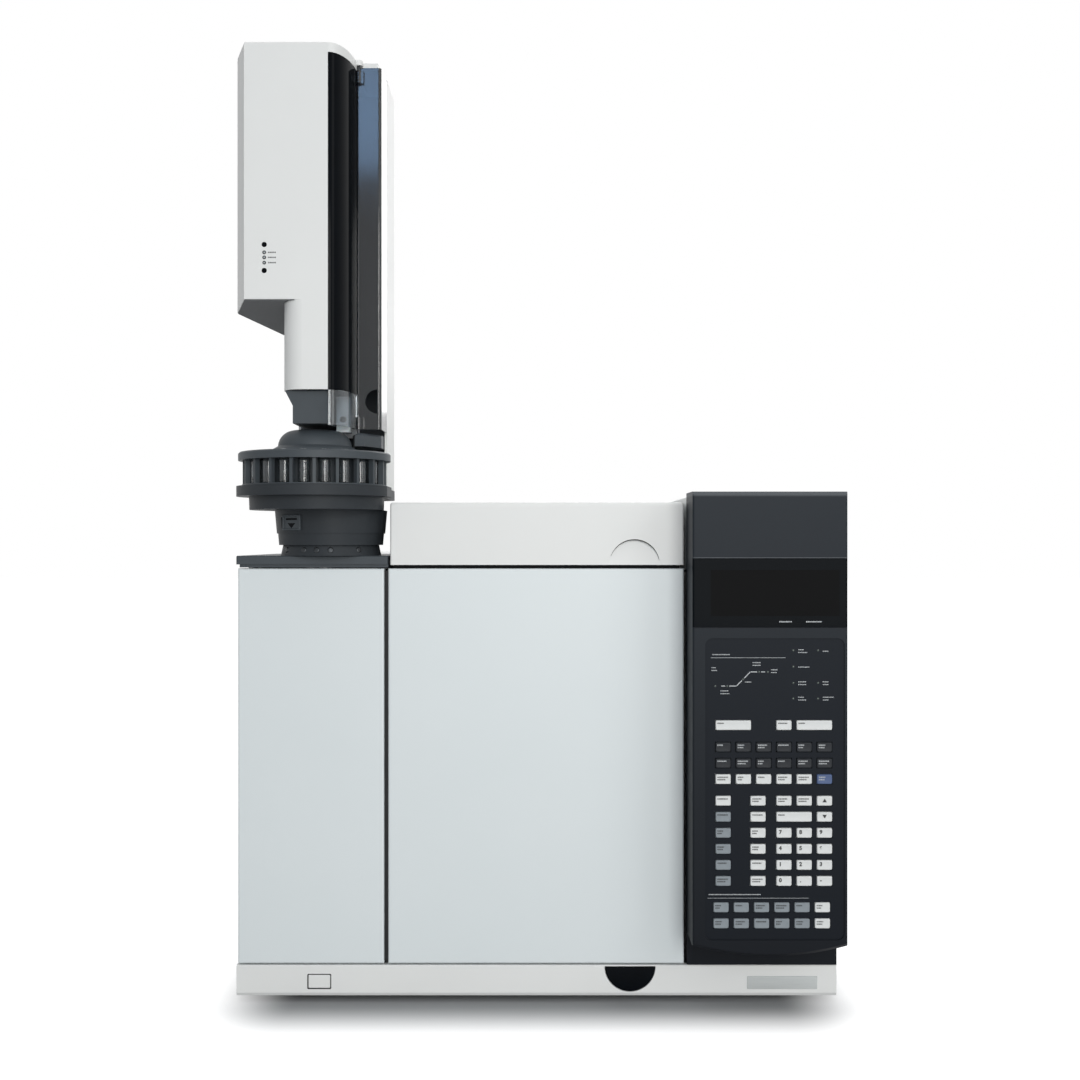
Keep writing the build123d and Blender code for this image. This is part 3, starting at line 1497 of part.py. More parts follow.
with BuildPart() as plunger_carriage:
    block(
        (inlet_x - carriage_half, inlet_x + carriage_half),
        (carriage_front, carriage_back),
        (plunger_bottom, plunger_bottom + plunger_height),
    )
    fillet(plunger_carriage.edges().filter_by(Axis.Z), 2.0)
    block(
        (inlet_x - clamp_half, inlet_x + clamp_half),
        (needle_y - clamp_half, carriage_front),
        (plunger_bottom, plunger_bottom + 8),
    )
    with BuildSketch(Plane.XY.offset(plunger_bottom)):
        with Locations(*rod_places):
            Circle(rod_radius + fit)
    extrude(amount=plunger_height, mode=Mode.SUBTRACT)
    with BuildSketch(Plane.XY.offset(barrel_bottom + 21)):
        with Locations((inlet_x, needle_y)):
            Circle(plunger_radius)
    extrude(amount=plunger_bottom - barrel_bottom - 21)
finish(plunger_carriage, "plunger_carriage")

# needle-guide bracket on the arm, beside the trough
bracket_x, bracket_y = strip_left + 6.0, column_front - 20.0
with BuildPart() as needle_guide:
    block(
        (bracket_x - 7, bracket_x + 8),
        (bracket_y - 6, bracket_y + 6),
        (arm_top, arm_top + 7),
    )
    with BuildSketch(Plane.XZ.offset(-(bracket_y + 1))):
        with Locations((bracket_x + 0.5, arm_top + 15.5)):
            Rectangle(14, 17)
            Circle(2.2, mode=Mode.SUBTRACT)
    extrude(amount=1.5)
finish(needle_guide, "needle_guide")

def back_outline(height, inset):
    """Plan of the back cover, with its two rounded rear corners, grown inwards by inset."""
    with BuildSketch(Plane.XY.offset(height)) as outline:
        with Locations(((back_left + back_right) / 2, (back_front_right + back_rear) / 2 - inset)):
            Rectangle(back_right - back_left - 2 * inset, back_rear - back_front_right)
        fillet(outline.vertices().group_by(Axis.Y)[-1], back_radius - inset)
    return outline.sketch


with BuildPart() as tower_back_cover:
    extrude(back_outline(platform_top + 0.5, 0), amount=tower_top - crown + 2 - platform_top)
    extrude(
        back_outline(platform_top, back_wall),
        amount=tower_top - crown - 0.5 - platform_top,
        mode=Mode.SUBTRACT,
    )
    block(
        (back_left - 1, back_right - back_wall),
        (back_front_right - 1, column_front),
        (platform_top, tower_top),
        Mode.SUBTRACT,
    )
finish(tower_back_cover, "tower_back_cover")


def head_outline(height, inset):
    """Plan of the head, grown inwards by inset: flat side, bevel, flat front, curved shoulder."""
    shoulder_x, shoulder_y = strip_right - strip_left, strip_side_y - head_front
    with BuildSketch(Plane.XY.offset(height)) as outline:
        with BuildLine():
            Polyline(
                (strip_right, column_front - 0.5),
                (back_left, column_front - 0.5),
                (head_left, head_side_y),
                (head_chamfer_x, head_front),
                (strip_right, head_front),
                close=True,
            )
        make_face()
        if inset:
            offset(amount=-inset, kind=Kind.INTERSECTION)
        with Locations((strip_left + shoulder_x / 2, strip_side_y - shoulder_y / 2)):
            Rectangle(shoulder_x, shoulder_y, mode=Mode.SUBTRACT)
        with Locations((strip_left, strip_side_y)):
            Ellipse(shoulder_x - inset, shoulder_y - inset)
    return outline.sketch


def neck_outline(height, inset):
    """Plan of the neck, grown inwards by inset."""
    with BuildSketch(Plane.XY.offset(height)) as outline:
        with Locations(((neck_left + strip_left) / 2 + inset / 2, (head_front + column_front) / 2)):
            Rectangle(strip_left - neck_left - inset, column_front - head_front - 2 * inset)
        fillet(outline.vertices().group_by(Axis.X)[0].sort_by(Axis.Y)[0], neck_radius - inset)
    return outline.sketch


light_x = inlet_x - 40.7
light_heights = [tower_top - 201.5, tower_top - 206.3, tower_top - 211.3]
access_heights = [tower_top - 194.0, tower_top - 218.8]
with BuildPart() as tower_shell:
    extrude(head_outline(nose_back_z - 10, 0), amount=tower_top - nose_back_z + 10)
    slope = (nose_front_z - nose_back_z) / (needle_y - 4 - head_front)
    with BuildSketch(Plane.YZ.offset(head_left - 10)):
        with BuildLine():
            Polyline(
                (head_front - 10, nose_back_z - 60),
                (head_front - 10, nose_front_z + 10 * slope),
                (column_front + 10, nose_front_z - (column_front + 10 - head_front) * slope),
                (column_front + 10, nose_back_z - 60),
                close=True,
            )
        make_face()
    extrude(amount=200, mode=Mode.SUBTRACT)
    extrude(neck_outline(neck_bottom, 0), amount=nose_front_z - neck_bottom)
    fillet(tower_shell.faces().sort_by(Axis.Z)[-1].edges().sort_by(Axis.Y)[:4], 2.0)
    with BuildSketch(Plane.XY.offset(nose_front_z + shell_wall)):
        add(head_outline(0, shell_wall))
        with Locations(((back_left + strip_right) / 2, column_front - 6)):
            Rectangle(strip_right - back_left - 2 * shell_wall, 16)
    extrude(amount=tower_top - crown - nose_front_z - shell_wall, mode=Mode.SUBTRACT)
    extrude(
        neck_outline(neck_bottom, shell_wall),
        amount=nose_front_z + 2 * shell_wall - neck_bottom,
        mode=Mode.SUBTRACT,
    )
    block(
        (neck_left + shell_wall, strip_right + 1),
        (column_front - 20, column_front + 1),
        (neck_bottom, nose_front_z + 2 * shell_wall),
        Mode.SUBTRACT,
    )
    # the strip and the door close this side
    block(
        (strip_left, strip_right + 1),
        (head_front - 1, column_front + 1),
        (neck_bottom - 1, strip_top),
        Mode.SUBTRACT,
    )
    # top plate over the door side, with an ear for the door's upper pin
    block(
        (strip_right - 6, door_panel_right - 4),
        (door_plane + 4, column_front - 0.5),
        (tower_top - crown, tower_top),
    )
    with BuildSketch(Plane.XY.offset(tower_top - crown)):
        with Locations((tower_hinge_x, tower_hinge_y)):
            Circle(knuckle_radius + 1)
        with Locations((tower_hinge_x - 3, tower_hinge_y + 3)):
            Rectangle(8, 8)
    extrude(amount=crown)
    with BuildSketch(Plane.XY.offset(tower_top - crown)):
        with Locations((tower_hinge_x, tower_hinge_y)):
            Circle(hinge_pin_radius + fit)
    extrude(amount=crown, mode=Mode.SUBTRACT)
    with BuildSketch(Plane.XZ.offset(-head_front)):
        with Locations(*[(light_x, height) for height in light_heights]):
            Circle(1.8)
        with Locations(*[(light_x, height) for height in access_heights]):
            Circle(2.5)
    extrude(amount=-shell_wall, mode=Mode.SUBTRACT)
finish(tower_shell, "tower_shell")

with BuildPart() as tower_window:
    for window_bottom, window_top in (
        (neck_bottom, strip_top - 0.3),
        (tower_door_bottom, neck_bottom - 0.5),
    ):
        with BuildSketch(Plane.XY.offset(window_bottom)):
            with Locations((strip_left, strip_side_y)):
                Ellipse(strip_right - strip_left, strip_side_y - head_front)
                Ellipse(
                    strip_right - strip_left - shell_wall,
                    strip_side_y - head_front - shell_wall,
                    mode=Mode.SUBTRACT,
                )
            with Locations((strip_left + 50.3, strip_side_y - 57)):
                Rectangle(100, 100, mode=Mode.INTERSECT)
        extrude(amount=window_top - window_bottom)
finish(tower_window, "tower_window")

notch_radius, notch_z = 12.0, platform_top + 85.5
with BuildPart() as tower_door:
    with BuildSketch(Plane.XY.offset(tower_door_bottom)):
        with BuildLine():
            Polyline(
                (door_panel_left, door_plane + tower_door_sheet),
                (door_panel_left, door_plane),
                (door_panel_right, door_plane),
                (door_return_right, door_return_back),
                (door_return_right - tower_door_sheet, door_return_back),
                (door_panel_right - tower_door_sheet, door_plane + tower_door_sheet),
                close=True,
            )
        make_face()
    extrude(amount=tower_door_top - tower_door_bottom)
    fillet(tower_door.edges().filter_by(Axis.Z).sort_by(Axis.Y)[:2].sort_by(Axis.X)[-1], 3.0)
    for knuckle_bottom in (tower_door_bottom, tower_door_top - 4 - knuckle_height):
        with BuildSketch(Plane.XY.offset(knuckle_bottom)):
            with Locations((tower_hinge_x, tower_hinge_y)):
                Circle(knuckle_radius)
            with Locations((tower_hinge_x + 2.5, tower_hinge_y + 0.6)):
                Rectangle(5, 5)
        extrude(amount=knuckle_height)
    with BuildSketch(Plane.XY.offset(tower_door_bottom)):
        with Locations((tower_hinge_x, tower_hinge_y)):
            Circle(hinge_pin_radius + fit)
    extrude(amount=tower_door_top - tower_door_bottom, mode=Mode.SUBTRACT)
    with BuildSketch(Plane.XZ.offset(-(door_plane + tower_door_sheet))):
        with Locations((door_panel_right - 4, notch_z)):
            Circle(notch_radius)
        with Locations((door_panel_right + notch_radius - 4, notch_z)):
            Rectangle(2 * notch_radius, 3 * notch_radius, mode=Mode.SUBTRACT)
    extrude(amount=2 * tower_door_sheet, mode=Mode.SUBTRACT)
finish(tower_door, "tower_door")

# ---------------------------------------------------------------- hinge pins
post_radius_low = 6.0
pin_reach = 11.0
with BuildPart() as hinge_pins:
    # oven door: a post on the tray floor and a plate under the inlet tray
    with BuildSketch(Plane.XY.offset(foot_height + 2)):
        with Locations((hinge_x, hinge_y)):
            Circle(post_radius_low)
    extrude(amount=door_bottom - foot_height - 2 - 0.7)
    with BuildSketch(Plane.XY.offset(door_bottom - 1)):
        with Locations((hinge_x, hinge_y)):
            Circle(pin_radius)
    extrude(amount=frame_bottom + pin_reach - door_bottom + 1)
    block(
        (left + 6.5, hinge_x + lug_half),
        (hinge_y - lug_half, cover_front_y + 12),
        (tray_bottom, tray_bottom + 2),
    )
    with BuildSketch(Plane.XY.offset(tray_bottom)):
        with Locations((hinge_x, hinge_y)):
            Circle(pin_radius)
    extrude(amount=frame_top - pin_reach - tray_bottom)
    # detector cover
    for pin_start, pin_end in (
        (cover_left + 0.3, cover_left + sheet + 5.5),
        (cover_right - sheet - 5.5, cover_right - 0.3),
    ):
        with BuildSketch(Plane.YZ.offset(pin_start)):
            with Locations((cover_hinge_y, cover_hinge_z)):
                Circle(pin_radius)
        extrude(amount=pin_end - pin_start)
    # tower door
    for pin_start, pin_end in (
        (arm_bottom, tower_door_bottom + knuckle_height - 1),
        (tower_door_top - 4 - knuckle_height + 1, tower_top),
    ):
        with BuildSketch(Plane.XY.offset(pin_start)):
            with Locations((tower_hinge_x, tower_hinge_y)):
                Circle(hinge_pin_radius)
        extrude(amount=pin_end - pin_start)
finish(hinge_pins, "hinge_pins")
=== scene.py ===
import itertools
import math

import bmesh
import bpy
from mathutils import Matrix, Vector


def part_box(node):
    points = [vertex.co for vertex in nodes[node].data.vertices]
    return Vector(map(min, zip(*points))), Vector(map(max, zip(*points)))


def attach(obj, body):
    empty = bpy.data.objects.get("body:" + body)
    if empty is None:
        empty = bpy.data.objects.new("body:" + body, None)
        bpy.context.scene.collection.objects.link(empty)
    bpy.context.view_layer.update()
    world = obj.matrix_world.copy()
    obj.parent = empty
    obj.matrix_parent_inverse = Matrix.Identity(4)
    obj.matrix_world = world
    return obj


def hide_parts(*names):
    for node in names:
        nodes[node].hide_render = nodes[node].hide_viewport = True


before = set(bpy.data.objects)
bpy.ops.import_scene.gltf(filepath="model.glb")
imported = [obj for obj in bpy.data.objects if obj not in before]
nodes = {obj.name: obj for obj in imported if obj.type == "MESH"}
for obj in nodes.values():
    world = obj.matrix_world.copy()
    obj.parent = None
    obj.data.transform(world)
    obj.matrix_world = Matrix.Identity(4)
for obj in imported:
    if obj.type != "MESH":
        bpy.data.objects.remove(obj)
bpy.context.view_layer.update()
scene = bpy.context.scene
scene.view_settings.view_transform = "Standard"
mm = 0.001

# ---------------------------------------------------------------- studio
# A pale matt floor under a white surround, with soft boxes in front, above and behind. Close to
# the instrument the floor is a mid grey that keeps its real shadow and adds a painted shadow round the base,
# and a hand's breadth further out it melts into white.


def linear(hex_colour):
    """An sRGB hex colour as linear red, green, blue and alpha."""
    channels = [int(hex_colour[i : i + 2], 16) / 255 for i in (1, 3, 5)]
    return tuple(c / 12.92 if c <= 0.04045 else ((c + 0.055) / 1.055) ** 2.4 for c in channels) + (1,)


def add_node(tree, kind, settings=None, links=None):
    """Adds a node: settings are its properties or input values, links feed its inputs."""
    node = tree.nodes.new("ShaderNode" + kind)
    for name, value in (settings or {}).items():
        if isinstance(name, int) or name in node.inputs:
            node.inputs[name].default_value = value
        else:
            setattr(node, name, value)
    for name, source in (links or {}).items():
        tree.links.new(source, node.inputs[name])
    return node


def new_material(name, settings):
    """A material with one surface shader, its node tree and that shader."""
    material = bpy.data.materials.new(name)
    material.use_nodes = True
    tree = material.node_tree
    tree.nodes.clear()
    surface = add_node(tree, "BsdfPrincipled", settings)
    add_node(tree, "OutputMaterial", links={"Surface": surface.outputs[0]})
    return material, tree, surface


def seen_directly(tree):
    """1 on rays from the camera and on those that come by a mirror or through glass."""
    path = add_node(tree, "LightPath")
    either = add_node(
        tree, "Math", {"operation": "MAXIMUM"},
        {0: path.outputs["Is Camera Ray"], 1: path.outputs["Is Glossy Ray"]},
    )
    either = add_node(
        tree, "Math", {"operation": "MAXIMUM"},
        {0: either.outputs[0], 1: path.outputs["Is Transmission Ray"]},
    )
    return either.outputs[0]


floor_reach = 14.0
floor_mesh = bpy.data.meshes.new("studio_floor")
floor_mesh.from_pydata(
    [(x * floor_reach, y * floor_reach, 0) for x, y in ((-1, -1), (1, -1), (1, 1), (-1, 1))], [],
    [(0, 1, 2, 3)],
)
floor = bpy.data.objects.new("studio_floor", floor_mesh)
scene.collection.objects.link(floor)
floor_paint, tree, surface = new_material(
    "matt_floor_paint",
    {
        "Base Color": linear("#8F9193"), "Roughness": 1.0, "Specular IOR Level": 0.0,
        "Emission Color": (1, 1, 1, 1),
    },
)
# inside this half width and half depth the floor shows only its grey paint, a painted shadow round the base;
# further out it also glows
painted_shadow_half, painted_shadow_fade = (0.235, 0.218, 0), 0.106
place = add_node(tree, "TexCoord")
aside = add_node(tree, "VectorMath", {"operation": "ABSOLUTE"}, {0: place.outputs["Object"]})
beyond = add_node(
    tree, "VectorMath", {"operation": "SUBTRACT", 1: painted_shadow_half}, {0: aside.outputs["Vector"]}
)
outside = add_node(
    tree, "VectorMath", {"operation": "MAXIMUM", 1: (0, 0, 0)}, {0: beyond.outputs["Vector"]}
)
reach = add_node(tree, "VectorMath", {"operation": "LENGTH"}, {0: outside.outputs["Vector"]})
far = add_node(
    tree, "MapRange",
    {"interpolation_type": "SMOOTHSTEP", "From Min": 0.0, "From Max": painted_shadow_fade, "To Max": 1.0},
    {"Value": reach.outputs["Value"]},
)
share = add_node(tree, "Math", {"operation": "MULTIPLY"}, {0: seen_directly(tree), 1: far.outputs[0]})
tree.links.new(share.outputs[0], surface.inputs["Emission Strength"])
floor_mesh.materials.append(floor_paint)

world = bpy.data.worlds.new("white_surround")
world.use_nodes = True
scene.world = world
tree = world.node_tree
tree.nodes.clear()
sky_light = add_node(tree, "Background", {"Color": linear("#F7F6F4"), "Strength": 0.49})
sky_seen = add_node(tree, "Background", {"Color": (1, 1, 1, 1), "Strength": 1.0})
pick = add_node(
    tree, "MixShader", links={0: seen_directly(tree), 1: sky_light.outputs[0], 2: sky_seen.outputs[0]}
)
add_node(tree, "OutputWorld", links={"Surface": pick.outputs[0]})

for name, place, aim, width, height, watts, tint in (
    ("soft_box_front", (0.5, -3.0, 0.8), (0.0, 0.0, 0.4), 1.5, 1.3, 43, "#FFFEFB"),
    ("soft_box_right", (2.1, -1.9, 1.3), (0.0, 0.0, 0.35), 1.2, 1.6, 13, "#FFFEFB"),
    ("soft_box_top", (0.0, 0.2, 2.9), (0.0, 0.0, 0.4), 2.2, 2.2, 15, "#FFFFFF"),
    ("soft_box_rear", (0.4, 2.6, 1.7), (0.0, 0.0, 0.4), 1.8, 1.8, 20, "#FFFFFF"),
    ("window_card", (-0.48, -2.6, 1.68), (-0.17, -0.2, 0.9), 0.28, 0.36, 2.3, "#93BFF0"),
):
    lamp = bpy.data.lights.new(name, "AREA")
    lamp.shape = "RECTANGLE"
    lamp.size, lamp.size_y = width, height
    lamp.energy = watts
    lamp.color = linear(tint)[:3]
    holder = bpy.data.objects.new(name, lamp)
    scene.collection.objects.link(holder)
    holder.location = place
    holder.rotation_euler = (Vector(aim) - Vector(place)).to_track_quat("-Z", "Y").to_euler()

camera_data = bpy.data.cameras.new("camera")
camera_data.sensor_width = 36
camera_data.lens = 44.08
camera = bpy.data.objects.new("camera", camera_data)
scene.collection.objects.link(camera)
camera.location = (0.0035, -1.512, 0.454)
camera.rotation_euler = (math.radians(90), 0, 0)
scene.camera = camera

# ---------------------------------------------------------------- rubber feet
# Four turned feet of black nitrile rubber, moulded with a slight draft and screwed up under the
# tray. Vulcanised rubber gives a dull, nearly black skin with a fine cloudy bloom.


def on_object(tree, kind, settings, mapping=None):
    """A texture on the object's own coordinates, stretched or turned by a mapping."""
    place = add_node(tree, "TexCoord").outputs["Object"]
    if mapping:
        place = add_node(tree, "Mapping", mapping, {"Vector": place}).outputs[0]
    return add_node(tree, kind, settings, {"Vector": place}).outputs["Fac"]


def drive(tree, surface, pattern, shades=None, gloss=None, depth=None):
    """Lets a pattern drive colour and roughness between two values, and height by a depth."""
    if shades:
        ends = {"data_type": "RGBA", 6: linear(shades[0]), 7: linear(shades[1])}
        colour = add_node(tree, "Mix", ends, {0: pattern})
        tree.links.new(colour.outputs[2], surface.inputs["Base Color"])
    if gloss:
        sheen = add_node(tree, "MapRange", {"To Min": gloss[0], "To Max": gloss[1]}, {"Value": pattern})
        tree.links.new(sheen.outputs[0], surface.inputs["Roughness"])
    if depth:
        bump = add_node(tree, "Bump", {"Distance": depth}, {"Height": pattern})
        tree.links.new(bump.outputs[0], surface.inputs["Normal"])


def mottled(tree, surface, shades, gloss, patch):
    """Lets colour and roughness drift between two values over patches of a given size."""
    drive(tree, surface, on_object(tree, "TexNoise", {"Scale": 1 / patch, "Detail": 4.0}), shades, gloss)


def grained(name, settings, shades, gloss, patch, grain, depth):
    """A mottled material with fine bumps: its patch, grain and depth are in millimetres."""
    material, tree, surface = new_material(name, settings)
    mottled(tree, surface, shades, gloss, patch * mm)
    bumps = on_object(tree, "TexNoise", {"Scale": 1 / (grain * mm), "Detail": 3.0})
    drive(tree, surface, bumps, depth=depth * mm)
    return material


def wear(material, *names):
    """Gives CAD nodes their finish."""
    for name in names:
        mesh = nodes[name].data
        mesh.materials.clear()
        mesh.materials.append(material)


nitrile_rubber = grained(
    "moulded_nitrile_rubber", {"IOR": 1.52}, ("#141516", "#1F2021"), (0.62, 0.8), 6, 0.8, 0.05
)
wear(nitrile_rubber, "rubber_feet")

# ---------------------------------------------------------------- base tray, skirt, latch, button
# A folded steel tray under a moulded skirt. The skirt is spark-textured ABS, off-white; the latch
# paddle is gloss black ABS and the button plain white ABS, both pushed straight in.

# a fine even grain breaks the highlight up, so the plastic reads soft next to the painted steel
white_abs = grained(
    "spark_textured_white_abs", {"IOR": 1.54, "Specular IOR Level": 0.35}, ("#DDDFDF", "#E2E4E4"),
    (0.42, 0.5), 60, 0.9, 0.012,
)
wear(white_abs, "front_skirt", "power_button")

# sprayed powder melts into a faint orange peel about a millimetre and a half across
powder_coat = grained(
    "white_powder_coated_steel", {"IOR": 1.5, "Coat Weight": 0.12, "Coat Roughness": 0.35},
    ("#DCDFDF", "#E2E5E5"), (0.4, 0.48), 90, 1.5, 0.02,
)
wear(powder_coat, "base_tray")

# a polished tool leaves a mirror skin that only the faint ripple of moulding disturbs
gloss_black = grained(
    "polished_black_abs", {"IOR": 1.5, "Specular IOR Level": 0.04}, ("#07090C", "#0B0F14"), (0.06, 0.12),
    14, 9, 0.01,
)
wear(gloss_black, "latch_paddle")


def skin(shape, rings):
    """Joins equal rings of points into one closed skin."""
    rows = [[shape.verts.new(point) for point in ring] for ring in rings]
    for lower, upper in zip(rows, rows[1:]):
        for i, corner in enumerate(lower):
            j = (i + 1) % len(lower)
            shape.faces.new((corner, lower[j], upper[j], upper[i]))
    shape.faces.new(rows[0][::-1])
    shape.faces.new(rows[-1])


def rounded(x, z, width, height, radius, y, steps=4):
    """Points round a rectangle with rounded corners, in a plane that faces the front."""
    ring = []
    for corner, (side, level) in enumerate(((1, 1), (-1, 1), (-1, -1), (1, -1))):
        for step in range(steps + 1):
            turn = math.radians(90 * (corner + step / steps))
            ring.append(
                (
                    x + side * (width / 2 - radius) + radius * math.cos(turn), y,
                    z + level * (height / 2 - radius) + radius * math.sin(turn),
                )
            )
    return ring


def open_ends(shape):
    """Takes the many-sided end faces off a skin, which leaves a ring."""
    ends = [face for face in shape.faces if len(face.verts) > 4]
    bmesh.ops.delete(shape, geom=ends, context="FACES_ONLY")


def moulded(shape, x, z, width, height, radius, steps):
    """Adds a form with rounded corners: each step is how much it grows and its place in depth."""
    skin(shape, [rounded(x, z, width + grow, height + grow, radius, y) for grow, y in steps])


def as_piece(name, shape, material, body, stands_for=None):
    """Turns a bmesh into a piece that rides on a body, and may stand for a CAD node."""
    bmesh.ops.recalc_face_normals(shape, faces=shape.faces)
    mesh = bpy.data.meshes.new(name)
    shape.to_mesh(mesh)
    shape.free()
    mesh.shade_smooth()
    mesh.set_sharp_from_angle(angle=math.radians(38))
    mesh.materials.append(material)
    piece = bpy.data.objects.new(name, mesh)
    scene.collection.objects.link(piece)
    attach(piece, body)
    if stands_for:
        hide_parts(stands_for)


# three grip ribs across the latch paddle, moulded with it
latch_low, latch_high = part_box("latch_paddle")
latch_x = (latch_low.x + latch_high.x) / 2
rib_pitch, rib_height = 3.0 * mm, 1.0 * mm
rib_faces = (latch_low.y + 0.1 * mm, latch_low.y - 0.2 * mm)
shape = bmesh.new()
for rib in range(3):
    rib_z, rib_width = latch_low.z + 10 * mm + rib * rib_pitch, (12 + 5 * rib) * mm
    skin(shape, [rounded(latch_x, rib_z, rib_width, rib_height, 0.4 * mm, y) for y in rib_faces])
as_piece("latch_ribs", shape, gloss_black, "latch")

# bare aluminium rating plate stuck on the skirt under the console, brushed along its length
plate_alloy, tree, surface = new_material("brushed_aluminium_plate", {"Metallic": 0.6})
# hair lines run along the plate, a fifth of a millimetre apart and drawn at a half
hair_length, hair_width = 30 * mm, 0.5 * mm
stretch = {"Scale": (1 / hair_length, 1 / hair_length, 1 / hair_width)}
hairs = on_object(tree, "TexNoise", {"Scale": 1.0, "Detail": 3.0}, stretch)
drive(tree, surface, hairs, ("#A4A8A9", "#B6BABA"), (0.4, 0.55))
skirt_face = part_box("front_skirt")[0].y
plate_steps = [(0, skirt_face), (0, skirt_face - 0.3 * mm), (-0.2 * mm, skirt_face - 0.45 * mm)]
shape = bmesh.new()
moulded(shape, 241.5 * mm, 19 * mm, 69 * mm, 12.8 * mm, 0.8 * mm, plate_steps)
as_piece("bare_plate", shape, plate_alloy, "mainframe")

# a thin black rubber ring round the button: painted shade for the shadow gap round it
button_low, button_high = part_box("power_button")
button_x, button_z = (button_low.x + button_high.x) / 2, (button_low.z + button_high.z) / 2
shade_ring_foot, shade_ring_face = skirt_face + 1.0 * mm, skirt_face - 0.05 * mm
shade_ring_steps = [(0.1 * mm, shade_ring_foot), (0.1 * mm, shade_ring_face), (2 * mm, shade_ring_face), (2 * mm, shade_ring_foot)]
shape = bmesh.new()
moulded(shape, button_x, button_z, 21.6 * mm, 13 * mm, 1.2 * mm, shade_ring_steps)
open_ends(shape)
as_piece("button_shadow_ring", shape, nitrile_rubber, "mainframe")

# ---------------------------------------------------------------- frame and sheet-metal covers
# Folded steel covers round a zinc-plated frame: left, right, rear and rear top. They are powder
# coated off-white outside and held by pan-head screws along their edges.

wear(powder_coat, "left_cover", "right_cover", "rear_cover", "rear_top_cover")

# passivated zinc: a cold grey with soft cloudy patches and a faint warm cast
zinc_plate = grained(
    "zinc_plated_sheet_steel", {"Metallic": 1.0, "Coat Weight": 0.1}, ("#9A9DA0", "#B4B5B1"), (0.34, 0.5),
    12, 2.0, 0.006,
)
wear(zinc_plate, "bulkhead", "top_deck", "power_supply", "vent_duct", "exhaust_flap")


def turned(shape, profile, place, axis=(0, 0, 1), steps=24):
    """Adds a turned form: profile is (radius, height) in millimetres along an axis from a place."""
    turn = Vector((0, 0, 1)).rotation_difference(Vector(axis))
    corners = [2 * math.pi * step / steps for step in range(steps)]
    skin(
        shape,
        [
            [
                Vector(place) + turn @ Vector((r * mm * math.cos(a), r * mm * math.sin(a), height * mm))
                for a in corners
            ]
            for r, height in profile
        ],
    )


screw_radius, screw_height = 3.4, 1.5  # millimetres, as in a turned profile


def screw(shape, place, axis, scale=1.0):
    """Adds a pan-head screw with a six-lobed socket."""
    turned(
        shape,
        [
            (screw_radius * scale * share, screw_height * scale * level)
            for share, level in ((1, -0.1), (1, 0.35), (0.9, 0.75), (0.7, 0.97), (0.5, 1.0))
        ],
        place,
        axis,
    )
    turn = Vector((0, 0, 1)).rotation_difference(Vector(axis))
    socket_level = screw_height * mm * scale * 1.02
    lobes = [
        Vector((r * math.cos(a), r * math.sin(a), 0))
        for a, r in (
            (math.pi * i / 12, screw_radius * mm * scale * (0.36 + 0.08 * math.cos(math.pi * i / 2)))
            for i in range(24)
        )
    ]
    skin(
        shape,
        [
            [Vector(place) + turn @ (lobe * grow + Vector((0, 0, level))) for lobe in lobes]
            for grow, level in ((1.25, socket_level), (1.0, socket_level), (0.85, socket_level - 0.2 * mm))
        ],
    )


# machined then plated: brighter than the sheet and a little streaky
screw_steel = grained(
    "zinc_plated_screw_steel", {"Metallic": 1.0}, ("#A9ABAD", "#C6C7C6"), (0.24, 0.36), 1.5, 0.4, 0.004
)

rear_face, top_face, shoulder_face = 258 * mm, 491 * mm, 438.5 * mm
shape = bmesh.new()
for x, z in (
    (-285, 50), (-285, 230), (-285, 405), (-180, 50), (-20, 50), (130, 50), (285, 50), (285, 200),
    (285, 350), (285, 480), (155, 480), (130, 480), (0, 480), (-135, 480),
):
    screw(shape, (x * mm, rear_face, z * mm), (0, 1, 0))
for x, z in ((178.5, 52), (273.5, 52), (178.5, 188), (273.5, 188)):
    screw(shape, (x * mm, rear_face, z * mm), (0, 1, 0), 0.8)
for x, y in ((-130, 75), (130, 75), (-130, 245), (130, 245)):
    screw(shape, (x * mm, y * mm, top_face), (0, 0, 1), 0.65)
for x, y in ((-283, -6), (-283, 245), (-156, 245)):
    screw(shape, (x * mm, y * mm, shoulder_face), (0, 0, 1), 0.65)
as_piece("cover_screws", shape, screw_steel, "mainframe")

# ---------------------------------------------------------------- rear sockets and gas fittings
# A plated steel panel behind the rear cover carries a mains inlet, a network socket, two plug
# shells and a small control socket. Beside the left edge five brass tube fittings pass through.


def object_axes(tree):
    """A point's place on the object, as outputs named X, Y and Z."""
    place = add_node(tree, "TexCoord").outputs["Object"]
    return add_node(tree, "SeparateXYZ", links={0: place}).outputs


socket_panel, tree, surface = new_material("socket_panel_with_black_housings", {"IOR": 1.5})
# one plate in plain zinc and, standing on it, housings moulded in matt black nylon
plate_face = 256.1 * mm
axes = object_axes(tree)
proud = add_node(tree, "Math", {"operation": "GREATER_THAN", 1: plate_face}, {0: axes["Y"]}).outputs[0]
grain = on_object(tree, "TexNoise", {"Scale": 1 / (1.2 * mm)})
zinc_shades = {"data_type": "RGBA", 6: linear("#A3A6A8"), 7: linear("#B5B6B3")}
zinc_tone = add_node(tree, "Mix", zinc_shades, {0: grain})
nylon_shade = {"data_type": "RGBA", 7: linear("#17181A")}
tone = add_node(tree, "Mix", nylon_shade, {0: proud, 6: zinc_tone.outputs[2]})
tree.links.new(tone.outputs[2], surface.inputs["Base Color"])
bare = add_node(tree, "Math", {"operation": "SUBTRACT", 0: 1.0}, {1: proud})
tree.links.new(bare.outputs[0], surface.inputs["Metallic"])
drive(tree, surface, proud, gloss=(0.4, 0.62))
drive(tree, surface, grain, depth=0.02 * mm)
wear(socket_panel, "rear_sockets")

# thin hard gold over nickel, smooth and slightly dull
gold_contact = grained(
    "gold_plated_contact", {"Metallic": 1.0}, ("#C49A4A", "#D9B765"), (0.22, 0.34), 1.0, 0.3, 0.003
)

